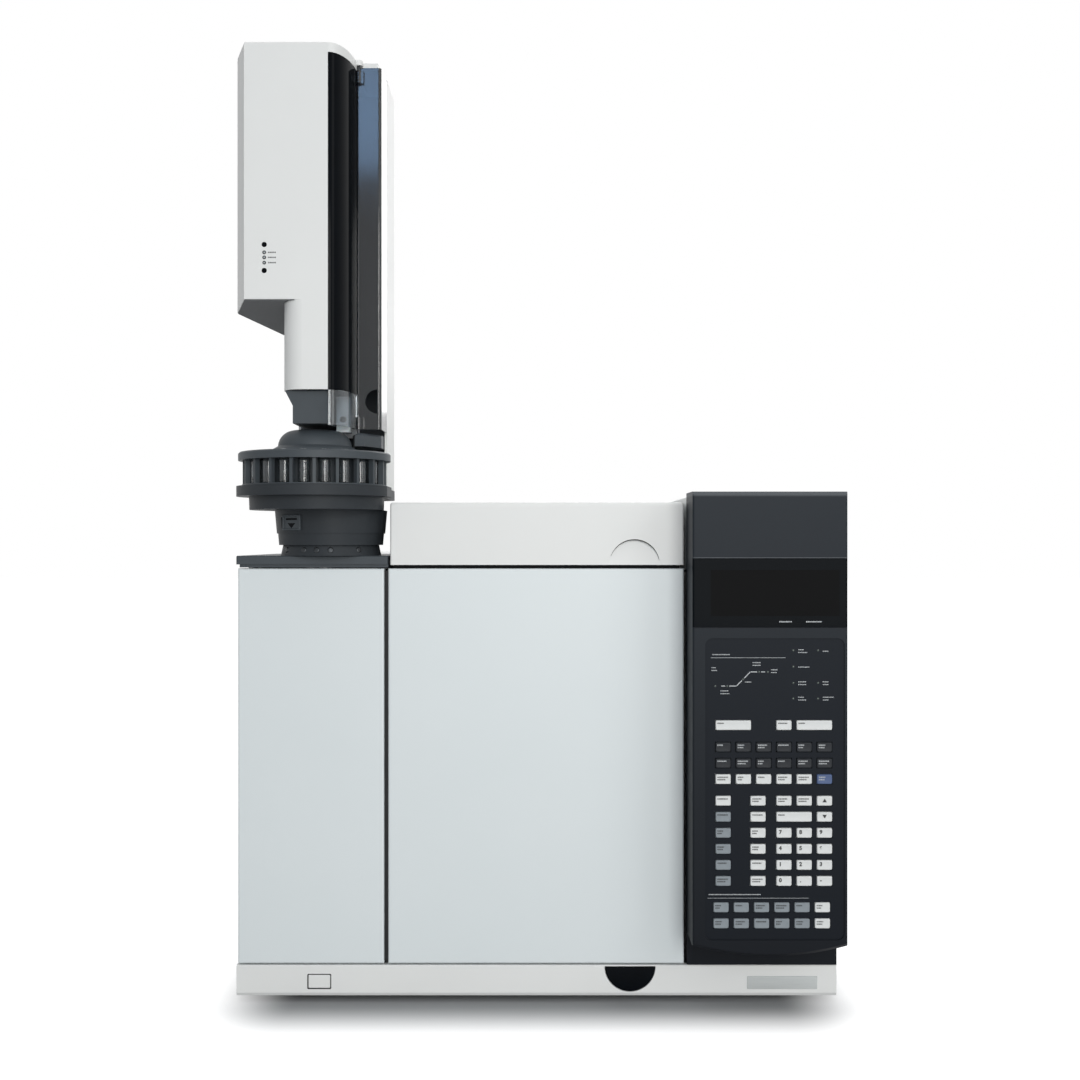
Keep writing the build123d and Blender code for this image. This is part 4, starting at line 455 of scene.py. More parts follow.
# turned bar stock with fine tool rings and a light brown tarnish
brass = grained("machined_brass", {"Metallic": 1.0}, ("#A98547", "#C9A561"), (0.24, 0.4), 4, 0.7, 0.01)
wear(brass, "gas_fittings")

socket_x, socket_z = 226 * mm, 120 * mm
contact_foot, contact_face = 257 * mm, 261.5 * mm
shape = bmesh.new()
for dx, dz in ((-27, -42), (-20, -37), (-13, -42)):
    blade_steps = [(0, contact_foot), (0, contact_face)]
    moulded(shape, socket_x + dx * mm, socket_z + dz * mm, 1.6 * mm, 4.6 * mm, 0.4 * mm, blade_steps)
for contact in range(8):
    x = socket_x + (-24.2 + 1.2 * contact) * mm
    spring_steps = [(0, contact_foot), (0, contact_foot + 3 * mm)]
    moulded(shape, x, socket_z + 7 * mm, 0.5 * mm, 3 * mm, 0.1 * mm, spring_steps)
as_piece("socket_contacts", shape, gold_contact, "mainframe")

shape = bmesh.new()
for dx, dz, width, height, across in ((-20, 38, 25, 7.5, 9), (22, 38, 25, 7.5, 9), (22, 8, 16, 7.5, 6)):
    x, z = socket_x + dx * mm, socket_z + dz * mm
    shell_steps = ((1.0, 261.5), (1.0, 266), (0.93, 266.2), (0.93, 262.2))
    skin(
        shape,
        [rounded(x, z, grow * width * mm, grow * height * mm, 2.4 * mm, y * mm) for grow, y in shell_steps],
    )
    for pin in range(across):
        pin_x = socket_x + (dx + 2.2 * (pin - (across - 1) / 2)) * mm
        for row in (-1, 1):
            pin_z = socket_z + (dz + 1.6 * row) * mm
            turned(shape, [(0.5, 0), (0.5, 4), (0.25, 4.5)], (pin_x, 261.4 * mm, pin_z), (0, 1, 0), 8)
for x in (-250, -228, -206, -184, -162):
    turned(
        shape, [(3.3, 0), (3.3, 6), (2.4, 7.5), (1.6, 7.5), (1.6, 3)],
        (x * mm, 273.9 * mm - 7.4 * mm, 385 * mm), (0, 1, 0),
    )
as_piece("plug_shells_and_ferrules", shape, screw_steel, "mainframe")

# ---------------------------------------------------------------- electronics behind the console
# A green glass-epoxy board with black packages and white plug bars stands on the bulkhead. The
# power supply is a plated can, and the fan motor an aluminium die casting.

circuit_board, tree, surface = new_material("solder_masked_circuit_board", {"IOR": 1.5})
# green lacquer over copper tracks a millimetre wide; parts that stand off it are black epoxy
board_face = 155.7 * mm
axes = object_axes(tree)
proud = add_node(tree, "Math", {"operation": "GREATER_THAN", 1: board_face}, {0: axes["X"]}).outputs[0]
along_board = add_node(tree, "CombineXYZ", links={0: axes["Y"], 1: axes["Z"]})
track_pattern = {
    "Scale": 1.0, "Brick Width": 9 * mm, "Row Height": 2 * mm, "Mortar Size": 0.3 * mm,
    "Color1": linear("#12503A"), "Color2": linear("#176046"), "Mortar": linear("#2E7A4E"),
}
tracks = add_node(tree, "TexBrick", track_pattern, {"Vector": along_board.outputs[0]})
epoxy_shade = {"data_type": "RGBA", 7: linear("#1B1B1D")}
tone = add_node(tree, "Mix", epoxy_shade, {0: proud, 6: tracks.outputs["Color"]})
tree.links.new(tone.outputs[2], surface.inputs["Base Color"])
drive(tree, surface, proud, gloss=(0.28, 0.55))
drive(tree, surface, tracks.outputs["Fac"], depth=0.05 * mm)
wear(circuit_board, "main_board", "keypad_board")

# blasted casting skin: pale grey, matt and finely pitted
cast_alloy = grained(
    "die_cast_aluminium", {"Metallic": 1.0}, ("#8E9193", "#A5A7A8"), (0.45, 0.6), 7, 1.0, 0.05
)
wear(cast_alloy, "fan_motor", "flow_modules")

# ---------------------------------------------------------------- inlets and detectors
# Stainless inlet bodies with a hexagonal cap nut, and detectors in nickel-plated brass with a
# knurled castle and an igniter. All four stand on the deck and reach down into the oven.

wave_scale = 0.314  # divided by a spacing, it is the scale that sets a wave's bands that far apart
turned_steel, tree, surface = new_material("turned_stainless_steel", {"Metallic": 1.0, "Anisotropic": 0.4})
# the lathe leaves rings half a millimetre apart, drawn here at one millimetre so that they show
mottled(tree, surface, ("#9FA1A2", "#BDBEBE"), (0.2, 0.34), 5 * mm)
lathe_rings = {"bands_direction": "Z", "Scale": wave_scale / (1.0 * mm), "Distortion": 0.5, "Detail": 1.0}
drive(tree, surface, on_object(tree, "TexWave", lathe_rings), depth=0.012 * mm)
wear(turned_steel, "inlets", "detectors", "guide_rods")


def around(x, y, radius, degrees):
    """The point at a turn on a circle seen from above."""
    turn = math.radians(degrees)
    return x + radius * math.cos(turn), y + radius * math.sin(turn)


deck_top = 425 * mm
shape = bmesh.new()
for x, y in ((-219, -143), (-219, -53)):
    turned(shape, [(11, 5), (11, 13), (10, 14)], (x * mm, y * mm, deck_top + 0.2 * mm), steps=6)
    for turn in (30, 150, 270):
        screw(shape, (*around(x * mm, y * mm, 16 * mm, turn), deck_top + 5 * mm), (0, 0, 1), 0.7)
as_piece("inlet_nuts", shape, screw_steel, "mainframe")

# knurled collar and igniter plug of each detector
shape = bmesh.new()
for x, y in ((-60, -142), (-60, -50)):
    knurl = [
        [
            (*around(x * mm, y * mm, (12.3 - 0.5 * (step % 2)) * mm, 6 * step), deck_top + level * mm)
            for step in range(60)
        ]
        for level in (33, 44)
    ]
    skin(shape, knurl)
    turned(
        shape, [(4, 0), (4, 9), (2.5, 10), (2.5, 17), (1.2, 18)],
        ((x + 16) * mm, y * mm, deck_top + 16 * mm), (1, 0, 0),
    )
as_piece("detector_collars", shape, screw_steel, "mainframe")

# ---------------------------------------------------------------- oven
# A stainless box in a block of ceramic fibre. Behind its perforated shroud a centrifugal fan
# drives air over the heater ring; the column hangs on a wire cage in front.

# felted white fibres: dead matt, with soft lumps and short hairs
ceramic_wool = grained(
    "vacuum_formed_ceramic_wool", {"IOR": 1.45, "Specular IOR Level": 0.2}, ("#CFCBC1", "#E6E3DA"),
    (0.9, 1.0), 9, 2.2, 0.5,
)
wear(ceramic_wool, "oven_insulation", "door_insulation")

brushed_steel, tree, surface = new_material("brushed_stainless_sheet", {"Metallic": 1.0})
# belt-grained along the sheet, hair lines about a fifth of a millimetre drawn at a half
grain_length = 40 * mm
stretch = {"Scale": (1 / grain_length, 1 / grain_length, 1 / hair_width)}
hairs = on_object(tree, "TexNoise", {"Scale": 1.0, "Detail": 3.0}, stretch)
drive(tree, surface, hairs, ("#9B9D9E", "#C3C4C4"), (0.22, 0.42), 0.01 * mm)
wear(brushed_steel, "oven_liner", "fan_shroud", "oven_fan", "column_cage")

# nickel alloy sheath after years of heat: dark brown-grey with straw and blue tints
oxidised_alloy = grained(
    "heat_oxidised_heater_sheath", {"Metallic": 0.7}, ("#2C2A2B", "#5A4A3C"), (0.45, 0.65), 11, 0.8, 0.02
)
wear(oxidised_alloy, "heater_coil")

coated_silica, tree, surface = new_material(
    "polyimide_coated_fused_silica", {"IOR": 1.6, "Coat Weight": 0.5, "Coat Roughness": 0.1}
)
# an amber varnish over glass fibre a third of a millimetre thick, its turns drawn at 1.2 mm
fibre_turns = {"bands_direction": "Y", "Scale": wave_scale / (1.2 * mm), "Distortion": 0.0}
turns = on_object(tree, "TexWave", fibre_turns)
drive(tree, surface, turns, ("#4A2A12", "#B5762E"), (0.45, 0.22), 0.3 * mm)
wear(coated_silica, "column_coil")

# temperature probe beside the guard, the shroud's screws and the fan's nut
oven_x, oven_z, shroud_face = -87 * mm, 220 * mm, -27 * mm
shape = bmesh.new()
for x in (-134, 134):
    for z in (-119, 119):
        screw(shape, (oven_x + x * mm, shroud_face, oven_z + z * mm), (0, -1, 0))
turned(
    shape, [(4.5, -0.5), (4.5, 3), (1.2, 3.5), (1.2, 26), (0.6, 27)],
    (oven_x + 84 * mm, shroud_face, oven_z + 62 * mm), (0, -1, 0),
)
as_piece("oven_probe_and_screws", shape, turned_steel, "mainframe")
shape = bmesh.new()
turned(
    shape, [(6, 0), (6, 3.4), (5.2, 4)], (oven_x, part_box("oven_fan")[0].y + 0.1 * mm, oven_z), (0, -1, 0), 6
)
as_piece("fan_nut", shape, screw_steel, "oven_fan")

# ---------------------------------------------------------------- oven door
# Two painted steel skins on a black steel frame with a fibre plug behind. The seam between the
# skins and the shadow round them show the frame; a braided glass rope seals the oven.

# a cooler, smoother white than the plastic, with the same fine orange peel
door_enamel = grained(
    "cool_white_stoved_enamel_steel", {"IOR": 1.5, "Coat Weight": 0.15, "Coat Roughness": 0.4},
    ("#D3DBDE", "#D8DFE2"), (0.42, 0.5), 110, 1.5, 0.015,
)
wear(door_enamel, "door_skin_left", "door_skin_centre")

# thin satin black over sheet, a little cloudy
black_steel = grained(
    "black_painted_steel", {"IOR": 1.5, "Specular IOR Level": 0.25}, ("#0B0C0E", "#141517"), (0.5, 0.65),
    20, 1.0, 0.01,
)
wear(black_steel, "door_frame")


def product(tree, factors):
    """The product of some values."""
    total = factors[0]
    for factor in factors[1:]:
        total = add_node(tree, "Math", {"operation": "MULTIPLY"}, {0: total, 1: factor}).outputs[0]
    return total


glass_braid, tree, surface = new_material(
    "braided_glass_rope", {"IOR": 1.5, "Roughness": 0.8, "Sheen Weight": 0.3}
)
# plaited strands about three millimetres apart, crossing at a slant
strand = {"bands_direction": "X", "Scale": wave_scale / (3.0 * mm)}
slants = [on_object(tree, "TexWave", strand, {"Rotation": (0, tilt, 0)}) for tilt in (0.8, -0.8)]
drive(tree, surface, product(tree, slants), ("#8E8A80", "#DAD6CB"), None, 0.6 * mm)
wear(glass_braid, "door_seal")

# ---------------------------------------------------------------- detector cover
# A hinged lid moulded in the off-white ABS, with a half-round finger scoop low on its front. A
# thin dark strip along the scoop's arch is painted shade for the shadow under its lip, and a black foam strip
# inside the front lip closes the gap and paints it dark as shade.

wear(white_abs, "detector_cover")

cover_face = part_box("detector_cover")[0].y
scoop_x, scoop_z, scoop_radius = 96.4 * mm, 429.5 * mm, 24.8 * mm
# the dark strip along the arch is painted shade: the shadow line under the scoop's lip
shape = bmesh.new()
scoop_shadow_arc = []
for step in range(49):
    turn = math.radians(12 + 148 * step / 48)
    swell = 0.08 * mm + 0.42 * mm * math.sin(math.pi * step / 48)
    scoop_shadow_arc.append(
        [
            (
                scoop_x + (scoop_radius + lift) * math.cos(turn), cover_face + depth,
                scoop_z + (scoop_radius + lift) * math.sin(turn),
            )
            for lift, depth in (
                (swell, 0.6 * mm), (swell, -0.06 * mm), (-swell, -0.06 * mm), (-swell, 0.6 * mm)
            )
        ]
    )
skin(shape, scoop_shadow_arc)
as_piece("scoop_painted_shadow", shape, nitrile_rubber, "detector_lid")

# fine closed cells: matt black with a soft pitted skin
gap_shade_foam = grained(
    "black_closed_cell_foam", {"IOR": 1.45, "Specular IOR Level": 0.1}, ("#0D0E0F", "#161718"),
    (0.85, 0.95), 3, 0.9, 0.08,
)
shape = bmesh.new()
skin(
    shape,
    [
        [
            (x, y * mm, z * mm)
            for y, z in ((-209.5, 426.4), (-206, 426.4), (-205.5, 427), (-205.5, 432.5), (-209.5, 432.5))
        ]
        for x in (-141 * mm, 141 * mm)
    ],
)
# glued inside the cover's front lip, it closes the gap above the door; its black also stands in for the gap's
# shade
as_piece("lid_gap_shade_strip", shape, gap_shade_foam, "detector_lid")

# ---------------------------------------------------------------- keypad console
# A charcoal-painted ABS moulding. A printed polyester film lies in the recess of its face, under
# the keys; it carries the ramp diagram, the signal lights' marks and a rule above the last rows.

console_front = -260 * mm
film_face = console_front + 1.2 * mm
film_left, film_right, film_bottom, film_top = 159.7 * mm, 292.2 * mm, 75 * mm, 361.2 * mm

console_finish, tree, surface = new_material(
    "charcoal_painted_abs_with_printed_film", {"IOR": 1.5, "Specular IOR Level": 0.1}
)
# satin charcoal paint; in the recess the film is a shade bluer and darker; both carry painted shade, darker
# towards the bottom and lighter towards the top, and the top bevel a pale painted highlight
axes = object_axes(tree)
limits = (
    ("X", "GREATER_THAN", film_left), ("X", "LESS_THAN", film_right),
    ("Y", "GREATER_THAN", film_face - 0.3 * mm), ("Z", "GREATER_THAN", film_bottom),
    ("Z", "LESS_THAN", film_top),
)
tests = [
    add_node(tree, "Math", {"operation": operation, 1: limit}, {0: axes[axis]}).outputs[0]
    for axis, operation, limit in limits
]
inside = product(tree, tests)
# painted shade: paint and film both run from darker at the bottom to lighter at the top
painted_shade_span = {"From Min": 60 * mm, "From Max": 490 * mm}
height = add_node(tree, "MapRange", painted_shade_span, {"Value": axes["Z"]}).outputs[0]
paint_shaded_to_lit = {"data_type": "RGBA", 6: linear("#0C1016"), 7: linear("#24292F")}
paint = add_node(tree, "Mix", paint_shaded_to_lit, {0: height})
# painted highlight: the paint turns paler along the top bevel, where it catches the light
painted_highlight_span = {"From Min": 495 * mm, "From Max": 497 * mm, "To Max": 0.3}
painted_highlight_band = add_node(tree, "MapRange", painted_highlight_span, {"Value": axes["Z"]})
painted_highlight_colour = {"data_type": "RGBA", 7: linear("#8A8F94")}
paint = add_node(tree, "Mix", painted_highlight_colour, {0: painted_highlight_band.outputs[0], 6: paint.outputs[2]})
film_shaded_to_lit = {"data_type": "RGBA", 6: linear("#0B1017"), 7: linear("#10161E")}
film = add_node(tree, "Mix", film_shaded_to_lit, {0: height})
tone = add_node(tree, "Mix", {"data_type": "RGBA"}, {0: inside, 6: paint.outputs[2], 7: film.outputs[2]})
tree.links.new(tone.outputs[2], surface.inputs["Base Color"])
grain = on_object(tree, "TexNoise", {"Scale": 1 / (0.7 * mm), "Detail": 2.0})
drive(tree, surface, grain, None, (0.42, 0.5), 0.012 * mm)
wear(console_finish, "keypad_fascia")

# a thin chalky layer, matt, slightly open at its edges
white_ink = grained(
    "screen_printed_white_ink", {"IOR": 1.5}, ("#A9AEB2", "#C4C8CB"), (0.6, 0.75), 0.8, 0.3, 0.004
)

# dense black-grey ink pressed on by a soft pad
dark_ink = grained(
    "pad_printed_dark_ink", {"IOR": 1.5}, ("#0E0F11", "#191B1D"), (0.5, 0.65), 0.8, 0.3, 0.004
)


def stroke(shape, line, width, y):
    """Adds a printed line of a given width along (x, z) points, as one flat strip per run."""
    for start, end in zip(line, line[1:]):
        run = (Vector(end) - Vector(start)).normalized() * width / 2
        side = Vector((-run.y, run.x))
        shape.faces.new(
            [
                shape.verts.new((corner.x, y, corner.y))
                for corner in (
                    Vector(start) - run + side, Vector(start) - run - side, Vector(end) + run - side,
                    Vector(end) + run + side,
                )
            ]
        )


def marks(shape, x, z, length, height, y):
    """Adds a row of small printed marks, of a length and height, where a legend would stand."""
    reach = 0.0
    for width in itertools.cycle((0.8 * mm, 0.5 * mm, 1.0 * mm, 0.7 * mm)):
        if reach + width > length:
            break
        shape.faces.new(
            [
                shape.verts.new((x + reach + dx, y, z + dz))
                for dx, dz in ((0, -height / 2), (width, -height / 2), (width, height / 2), (0, height / 2))
            ]
        )
        reach += width + 0.35 * mm


ink_face = film_face - 0.04 * mm
ramp_low, ramp_high = 315.6, 329.0
shape = bmesh.new()
for width, line in (
    (0.35, [(165.5, 342.4), (236.0, 342.4)]), (0.8, [(175.6, ramp_low), (178.6, ramp_low)]),
    (0.8, [(183.2, ramp_low), (189.6, ramp_low), (194.6, 320.6)]),
    (0.8, [(197.4, 323.4), (202.8, ramp_high), (208.8, ramp_high)]),
    (0.8, [(213.4, ramp_high), (216.4, ramp_high)]),
):
    stroke(shape, [(x * mm, z * mm) for x, z in line], width * mm, ink_face)
marks(shape, 167.0 * mm, 345.4 * mm, 17 * mm, 0.9 * mm, ink_face)
marks(shape, 163.4 * mm, 118.0 * mm, 50 * mm, 0.9 * mm, ink_face)
stroke(shape, [(162.5 * mm, 114.6 * mm), (258.0 * mm, 114.6 * mm)], 0.3 * mm, ink_face)
for x, z, length in (
    (166.0, 333.0, 5.0), (166.0, 330.4, 5.5), (205.0, 337.8, 7.5), (205.0, 335.2, 7.5), (222.5, 331.0, 6.5),
    (222.5, 328.4, 6.0), (174.5, 311.0, 8.0), (174.5, 308.4, 8.5), (197.6, 319.4, 6.5), (248.2, 350.0, 5.5),
    (248.2, 347.4, 8.5), (271.5, 348.6, 6.0), (248.2, 333.6, 11.0), (248.2, 319.6, 8.0),
    (248.2, 317.0, 8.0), (271.5, 319.6, 6.0), (271.5, 317.0, 6.0), (248.2, 305.0, 6.0), (248.2, 302.4, 8.0),
    (271.5, 305.0, 10.5), (271.5, 302.4, 6.0),
):
    marks(shape, x * mm, z * mm, length * mm, 0.85 * mm, ink_face)
as_piece("film_graphics", shape, white_ink, "mainframe")

# the lights are off: small domes of dark smoked epoxy with a greenish depth
light_lens = grained(
    "smoked_light_lens", {"IOR": 1.5, "Coat Weight": 0.3}, ("#22302B", "#31413A"), (0.15, 0.25), 1, 0.8,
    0.005,
)
shape = bmesh.new()
for x, z in (
    (243.6, 349.4), (267.0, 349.4), (243.6, 334.0), (243.6, 318.6), (267.0, 318.6), (243.6, 303.8),
    (267.0, 303.8), (169.6, 315.6), (180.9, ramp_low), (196.0, 322.0), (211.1, ramp_high),
    (219.4, ramp_high),
):
    turned(
        shape, [(1.0, -0.3), (1.0, 0.15), (0.75, 0.4), (0.3, 0.5)], (x * mm, film_face, z * mm), (0, -1, 0),
        16,
    )
as_piece("signal_lights", shape, light_lens, "mainframe")

# ---------------------------------------------------------------- display
# One gloss black acrylic window as wide as the console. The dark liquid-crystal field shows
# through its middle, framed by a printed border a shade lighter.

display_acrylic, tree, surface = new_material(
    "back_printed_black_acrylic", {"IOR": 1.49, "Specular IOR Level": 0.015}
)
# polished acrylic: deep black with a greenish cast where the liquid crystal lies
axes = object_axes(tree)
tests = []
for axis, centre, half in (("X", 226.2 * mm, 61 * mm), ("Z", 403.8 * mm, 21.8 * mm)):
    offset = add_node(tree, "Math", {"operation": "SUBTRACT", 1: centre}, {0: axes[axis]})
    size = add_node(tree, "Math", {"operation": "ABSOLUTE"}, {0: offset.outputs[0]})
    test = add_node(tree, "Math", {"operation": "LESS_THAN", 1: half}, {0: size.outputs[0]})
    tests.append(test.outputs[0])
drive(tree, surface, product(tree, tests), ("#0D1115", "#08090B"))
ripple = on_object(tree, "TexNoise", {"Scale": 1 / (16 * mm)})
drive(tree, surface, ripple, None, (0.06, 0.12), 0.01 * mm)
wear(display_acrylic, "display_window")

shape = bmesh.new()
for x, length in ((230.0, 12.5), (255.5, 16.0)):
    marks(shape, x * mm, 376.6 * mm, length * mm, 1.2 * mm, console_front + 0.06 * mm)
as_piece("display_marks", shape, white_ink, "mainframe")

# a thin pale strip along the window's top edge, where the band above meets it: a painted highlight of that
# edge
shape = bmesh.new()
display_low, display_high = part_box("display_window")
stroke(
    shape,
    [
        (display_low.x + 0.5 * mm, display_high.z + 0.45 * mm),
        (display_high.x - 0.5 * mm, display_high.z + 0.45 * mm),
    ],
    0.45 * mm,
    console_front - 0.03 * mm,
)
# a paler charcoal: a painted highlight where the edge catches the light
painted_edge_highlight = grained(
    "charcoal_painted_edge_highlight", {"IOR": 1.5, "Specular IOR Level": 0.3}, ("#4C5157", "#5D6268"), (0.4, 0.5), 5,
    0.7, 0.01,
)
as_piece("painted_edge_highlight", shape, painted_edge_highlight, "mainframe")

# ---------------------------------------------------------------- keys
# Sixty-two moulded caps in eight groups. Each stands on a flange behind the console's wall, with
# rounded corners, a drafted skirt and a shallow dish; legends are pad-printed before lacquering.

key_finishes = {}
for finish, shades in (
    ("light", ("#D3D6D7", "#DCDFE0")), ("grey", ("#7E868D", "#8D959B")), ("dark", ("#1D2024", "#25282D")),
    ("blue", ("#4C5C80", "#57688C")),
):
    # polyester with a fine matt grain, a little glossier where fingers rub
    key_finishes[finish] = grained(
        "moulded_pbt_key_" + finish, {"IOR": 1.57, "Specular IOR Level": 0.15}, shades, (0.42, 0.55), 5,
        0.5, 0.012,
    )

key_width, wide_key, key_height = 14.5 * mm, 33.7 * mm, 9.2 * mm
key_front = console_front - 0.3 * mm
key_back = console_front + 5.5 * mm
key_column, key_pitch, row_pitch = 177 * mm, 19.2 * mm, 15.2 * mm
start_row, component_row, number_row, method_row = 278.5 * mm, 257.8 * mm, 206.9 * mm, 105.9 * mm


def key_cap(shape, x, z, width):
    """Adds one cap with its flange, drafted skirt, rounded edge and dish."""
    rings = []
    for grow, corner, y in (
        (1.0, 0.8, key_back), (1.0, 0.8, key_back - 1.2 * mm), (0.0, 1.3, key_back - 1.2 * mm),
        (0.0, 1.3, key_front + 1.6 * mm), (-0.25, 1.4, key_front + 0.35 * mm),
        (-0.5, 1.5, key_front + 0.06 * mm), (-0.85, 1.5, key_front), (-1.6, 1.2, key_front + 0.07 * mm),
        (-2.6, 0.9, key_front + 0.17 * mm), (-3.8, 0.5, key_front + 0.22 * mm),
    ):
        rings.append(rounded(x, z, width + 2 * grow * mm, key_height + 2 * grow * mm, corner * mm, y))
    skin(shape, rings)


def key_at(column, row, width=key_width, shift=0.0):
    """Centre and width of a key in a column of a row."""
    return (key_column + key_pitch * column + shift, row, width)


number_block = [number_row - row_pitch * row for row in range(6)]
upper_rows = [component_row, component_row - row_pitch]
third_row = component_row - 2 * row_pitch
method_rows = [method_row, method_row - row_pitch]
component_places = [key_at(column, row) for row in upper_rows for column in range(6)]
instrument_places = [key_at(3, start_row), *(key_at(column, third_row) for column in range(5))]
number_places = [key_at(column, row) for row in number_block[2:] for column in (3, 4, 5)]
edit_places = [key_at(column, number_block[0]) for column in (3, 4, 5)]
edit_places += [key_at(5, number_block[1]), *(key_at(1.72, row) for row in number_block)]
method_places = [key_at(0, row) for row in number_block[1:]]
method_places += [key_at(column, row, shift=-2 * mm) for row in method_rows for column in range(5)]
lone_method_places = [key_at(0, number_block[0])]
lone_method_places += [key_at(5, row, shift=-2 * mm) for row in method_rows]
key_groups = (
    ("stop_key", "light", [key_at(0.5, start_row, wide_key)]),
    ("start_key", "light", [key_at(4.5, start_row, wide_key)]),
    ("enter_key", "light", [key_at(3.5, number_block[1], wide_key)]),
    ("component_keys", "dark", component_places),
    ("instrument_keys", "light", instrument_places),
    ("number_keys", "light", number_places),
    ("edit_keys", "light", edit_places),
    ("method_keys", "grey", method_places),
    ("instrument_keys", "blue", [key_at(5, third_row)]),
    ("method_keys", "light", lone_method_places),
)
for group, finish, places in key_groups:
    shape = bmesh.new()
    for x, z, width in places:
        key_cap(shape, x, z, width)
    as_piece(f"{group}_{finish}_caps", shape, key_finishes[finish], group, group)

    # legends: digits and arrows where a key has them, elsewhere only rows of small marks
    shape = bmesh.new()
    legend_face = key_front - 0.03 * mm
    for number, (x, z, width) in enumerate(places):
        if group == "number_keys":
            letters = bpy.data.curves.new("character", "FONT")
            letters.body = "7894561230.-"[number]
            letters.size = 5.2 * mm
            letters.offset = 0.2 * mm
            letters.align_x = letters.align_y = "CENTER"
            holder = bpy.data.objects.new("character", letters)
            flat = bpy.data.meshes.new_from_object(holder)
            place = Matrix.Translation((x - 3.6 * mm, legend_face, z + 0.9 * mm))
            flat.transform(place @ Matrix.Rotation(math.radians(90), 4, "X"))
            shape.from_mesh(flat)
            bpy.data.objects.remove(holder)
        elif group == "edit_keys" and number in (2, 3):
            rise = 1.7 * mm if number == 2 else -1.7 * mm
            shape.faces.new(
                [
                    shape.verts.new((x + dx * mm, legend_face, z + 0.5 * mm + level))
                    for dx, level in ((-2.1, -rise), (2.1, -rise), (0.0, rise))
                ]
            )
        else:
            reach = 6.0 + 1.3 * ((number * 5 + len(places)) % 4)
            marks(shape, x - width / 2 + 1.7 * mm, z + 2.0 * mm, reach * mm, 1.15 * mm, legend_face)
            if (number + len(places)) % 3 and width == key_width:
                marks(
                    shape, x - width / 2 + 1.7 * mm, z - 0.3 * mm, 0.8 * reach * mm, 1.15 * mm, legend_face
                )
    ink = white_ink if finish in ("dark", "blue") else dark_ink
    as_piece(f"{group}_{finish}_legends", shape, ink, group)

# ---------------------------------------------------------------- inlet tray and tower base
# The tray over the inlets and the injector's pedestal are moulded in dark grey nylon, glass
# filled, with a fine leather-like grain. A cable port sits in the pedestal's front left.

# short glass fibres leave the moulding satin, with a drifting tone and a pebbled grain
dark_nylon = grained(
    "glass_filled_dark_grey_nylon", {"IOR": 1.53, "Specular IOR Level": 0.12}, ("#2C3034", "#35393D"),
    (0.42, 0.58), 24, 1.1, 0.03,
)
wear(dark_nylon, "tower_base")

# the same nylon a shade lighter, on the flat tray
tray_nylon = grained(
    "glass_filled_grey_nylon", {"IOR": 1.53, "Specular IOR Level": 0.2}, ("#3C4247", "#464C51"),
    (0.4, 0.55), 24, 1.1, 0.03,
)
wear(tray_nylon, "inlet_cover")

pedestal_x, pedestal_y, pedestal_radius = -206.9 * mm, -178 * mm, 56 * mm
port_turn = 235
port_centre = (*around(pedestal_x, pedestal_y, pedestal_radius - 0.2 * mm, port_turn), 471 * mm)
port_spin = Matrix.Rotation(math.radians(port_turn) + math.radians(90), 4, "Z")
port_place = Matrix.Translation(port_centre) @ port_spin
rim_steps = ((0.0, 1.5), (0.0, -0.3), (-0.8, -0.7), (-2.8, -0.7), (-3.8, -0.2), (-4.0, 1.5))
shape = bmesh.new()
moulded(shape, 0, 0, 24 * mm, 15 * mm, 1.0 * mm, [(grow * mm, y * mm) for grow, y in rim_steps])
open_ends(shape)
moulded(shape, 0, 0, 20.2 * mm, 11.2 * mm, 0.4 * mm, [(0, 1.6 * mm), (0, 0.3 * mm)])
shape.transform(port_place)
as_piece("cable_port", shape, tray_nylon, "mainframe")
# the opening itself, as gloss black pieces that paint its depth as shade: a slot for the contacts over the
# plug's key, a wedge that points down
shape = bmesh.new()
moulded(shape, 0, 3.4 * mm, 15.0 * mm, 1.8 * mm, 0.3 * mm, [(0, 1.4 * mm), (0, 0.15 * mm)])
skin(
    shape,
    [
        [(5.2 * mm * grow, y, -0.6 * mm), (-5.2 * mm * grow, y, -0.6 * mm), (0, y, -5.6 * mm * grow)]
        for grow, y in ((1.0, 1.4 * mm), (1.0, 0.25 * mm), (0.85, 0.1 * mm))
    ],
)
shape.transform(port_place)
as_piece("cable_port_opening_shade", shape, gloss_black, "mainframe")

# a thin oxide over machined steel: nearly black, satin, paler on the burrs
black_oxide = grained(
    "black_oxide_screw_steel", {"Metallic": 0.8, "Specular IOR Level": 0.3}, ("#2A2C2E", "#44474A"),
    (0.3, 0.45), 1.5, 0.4, 0.006,
)
wear(black_oxide, "hinge_pins")
# clamp screws round the pedestal's foot, blackened so that only their edges catch the light
shape = bmesh.new()
for turn in (216, 246, 262, 278, 312, 20, 90):
    foot = (*around(pedestal_x, pedestal_y, 48.3 * mm, turn), 444.2 * mm)
    screw(shape, foot, (*around(0, 0, 1, turn), 0.2), 0.85)
as_piece("pedestal_screws", shape, black_oxide, "mainframe")

# ---------------------------------------------------------------- turret and vials
# A moulded nylon carousel that turns on the spindle: a floor plate, posts, a rim drilled for
# twenty vials and a domed hub cap. Sixteen glass vials with crimped aluminium caps stand in it.

wear(tray_nylon, "turret")

turret_x, turret_y, vial_circle = -219 * mm, -204 * mm, 61 * mm
vial_base = 508.2 * mm

# drawn tube: smooth and clear, with slow ripples that stretch the highlights
vial_glass = grained(
    "drawn_borosilicate_glass", {"IOR": 1.5, "Transmission Weight": 0.9, "Specular IOR Level": 0.6},
    ("#7E868B", "#949CA1"), (0.02, 0.06), 12, 6, 0.02,
)

# thin pressed foil, bright, with small crimp dimples
crimp_aluminium = grained(
    "crimped_aluminium_cap", {"Metallic": 1.0}, ("#B9BCBF", "#D5D7D9"), (0.22, 0.34), 2, 0.9, 0.03
)

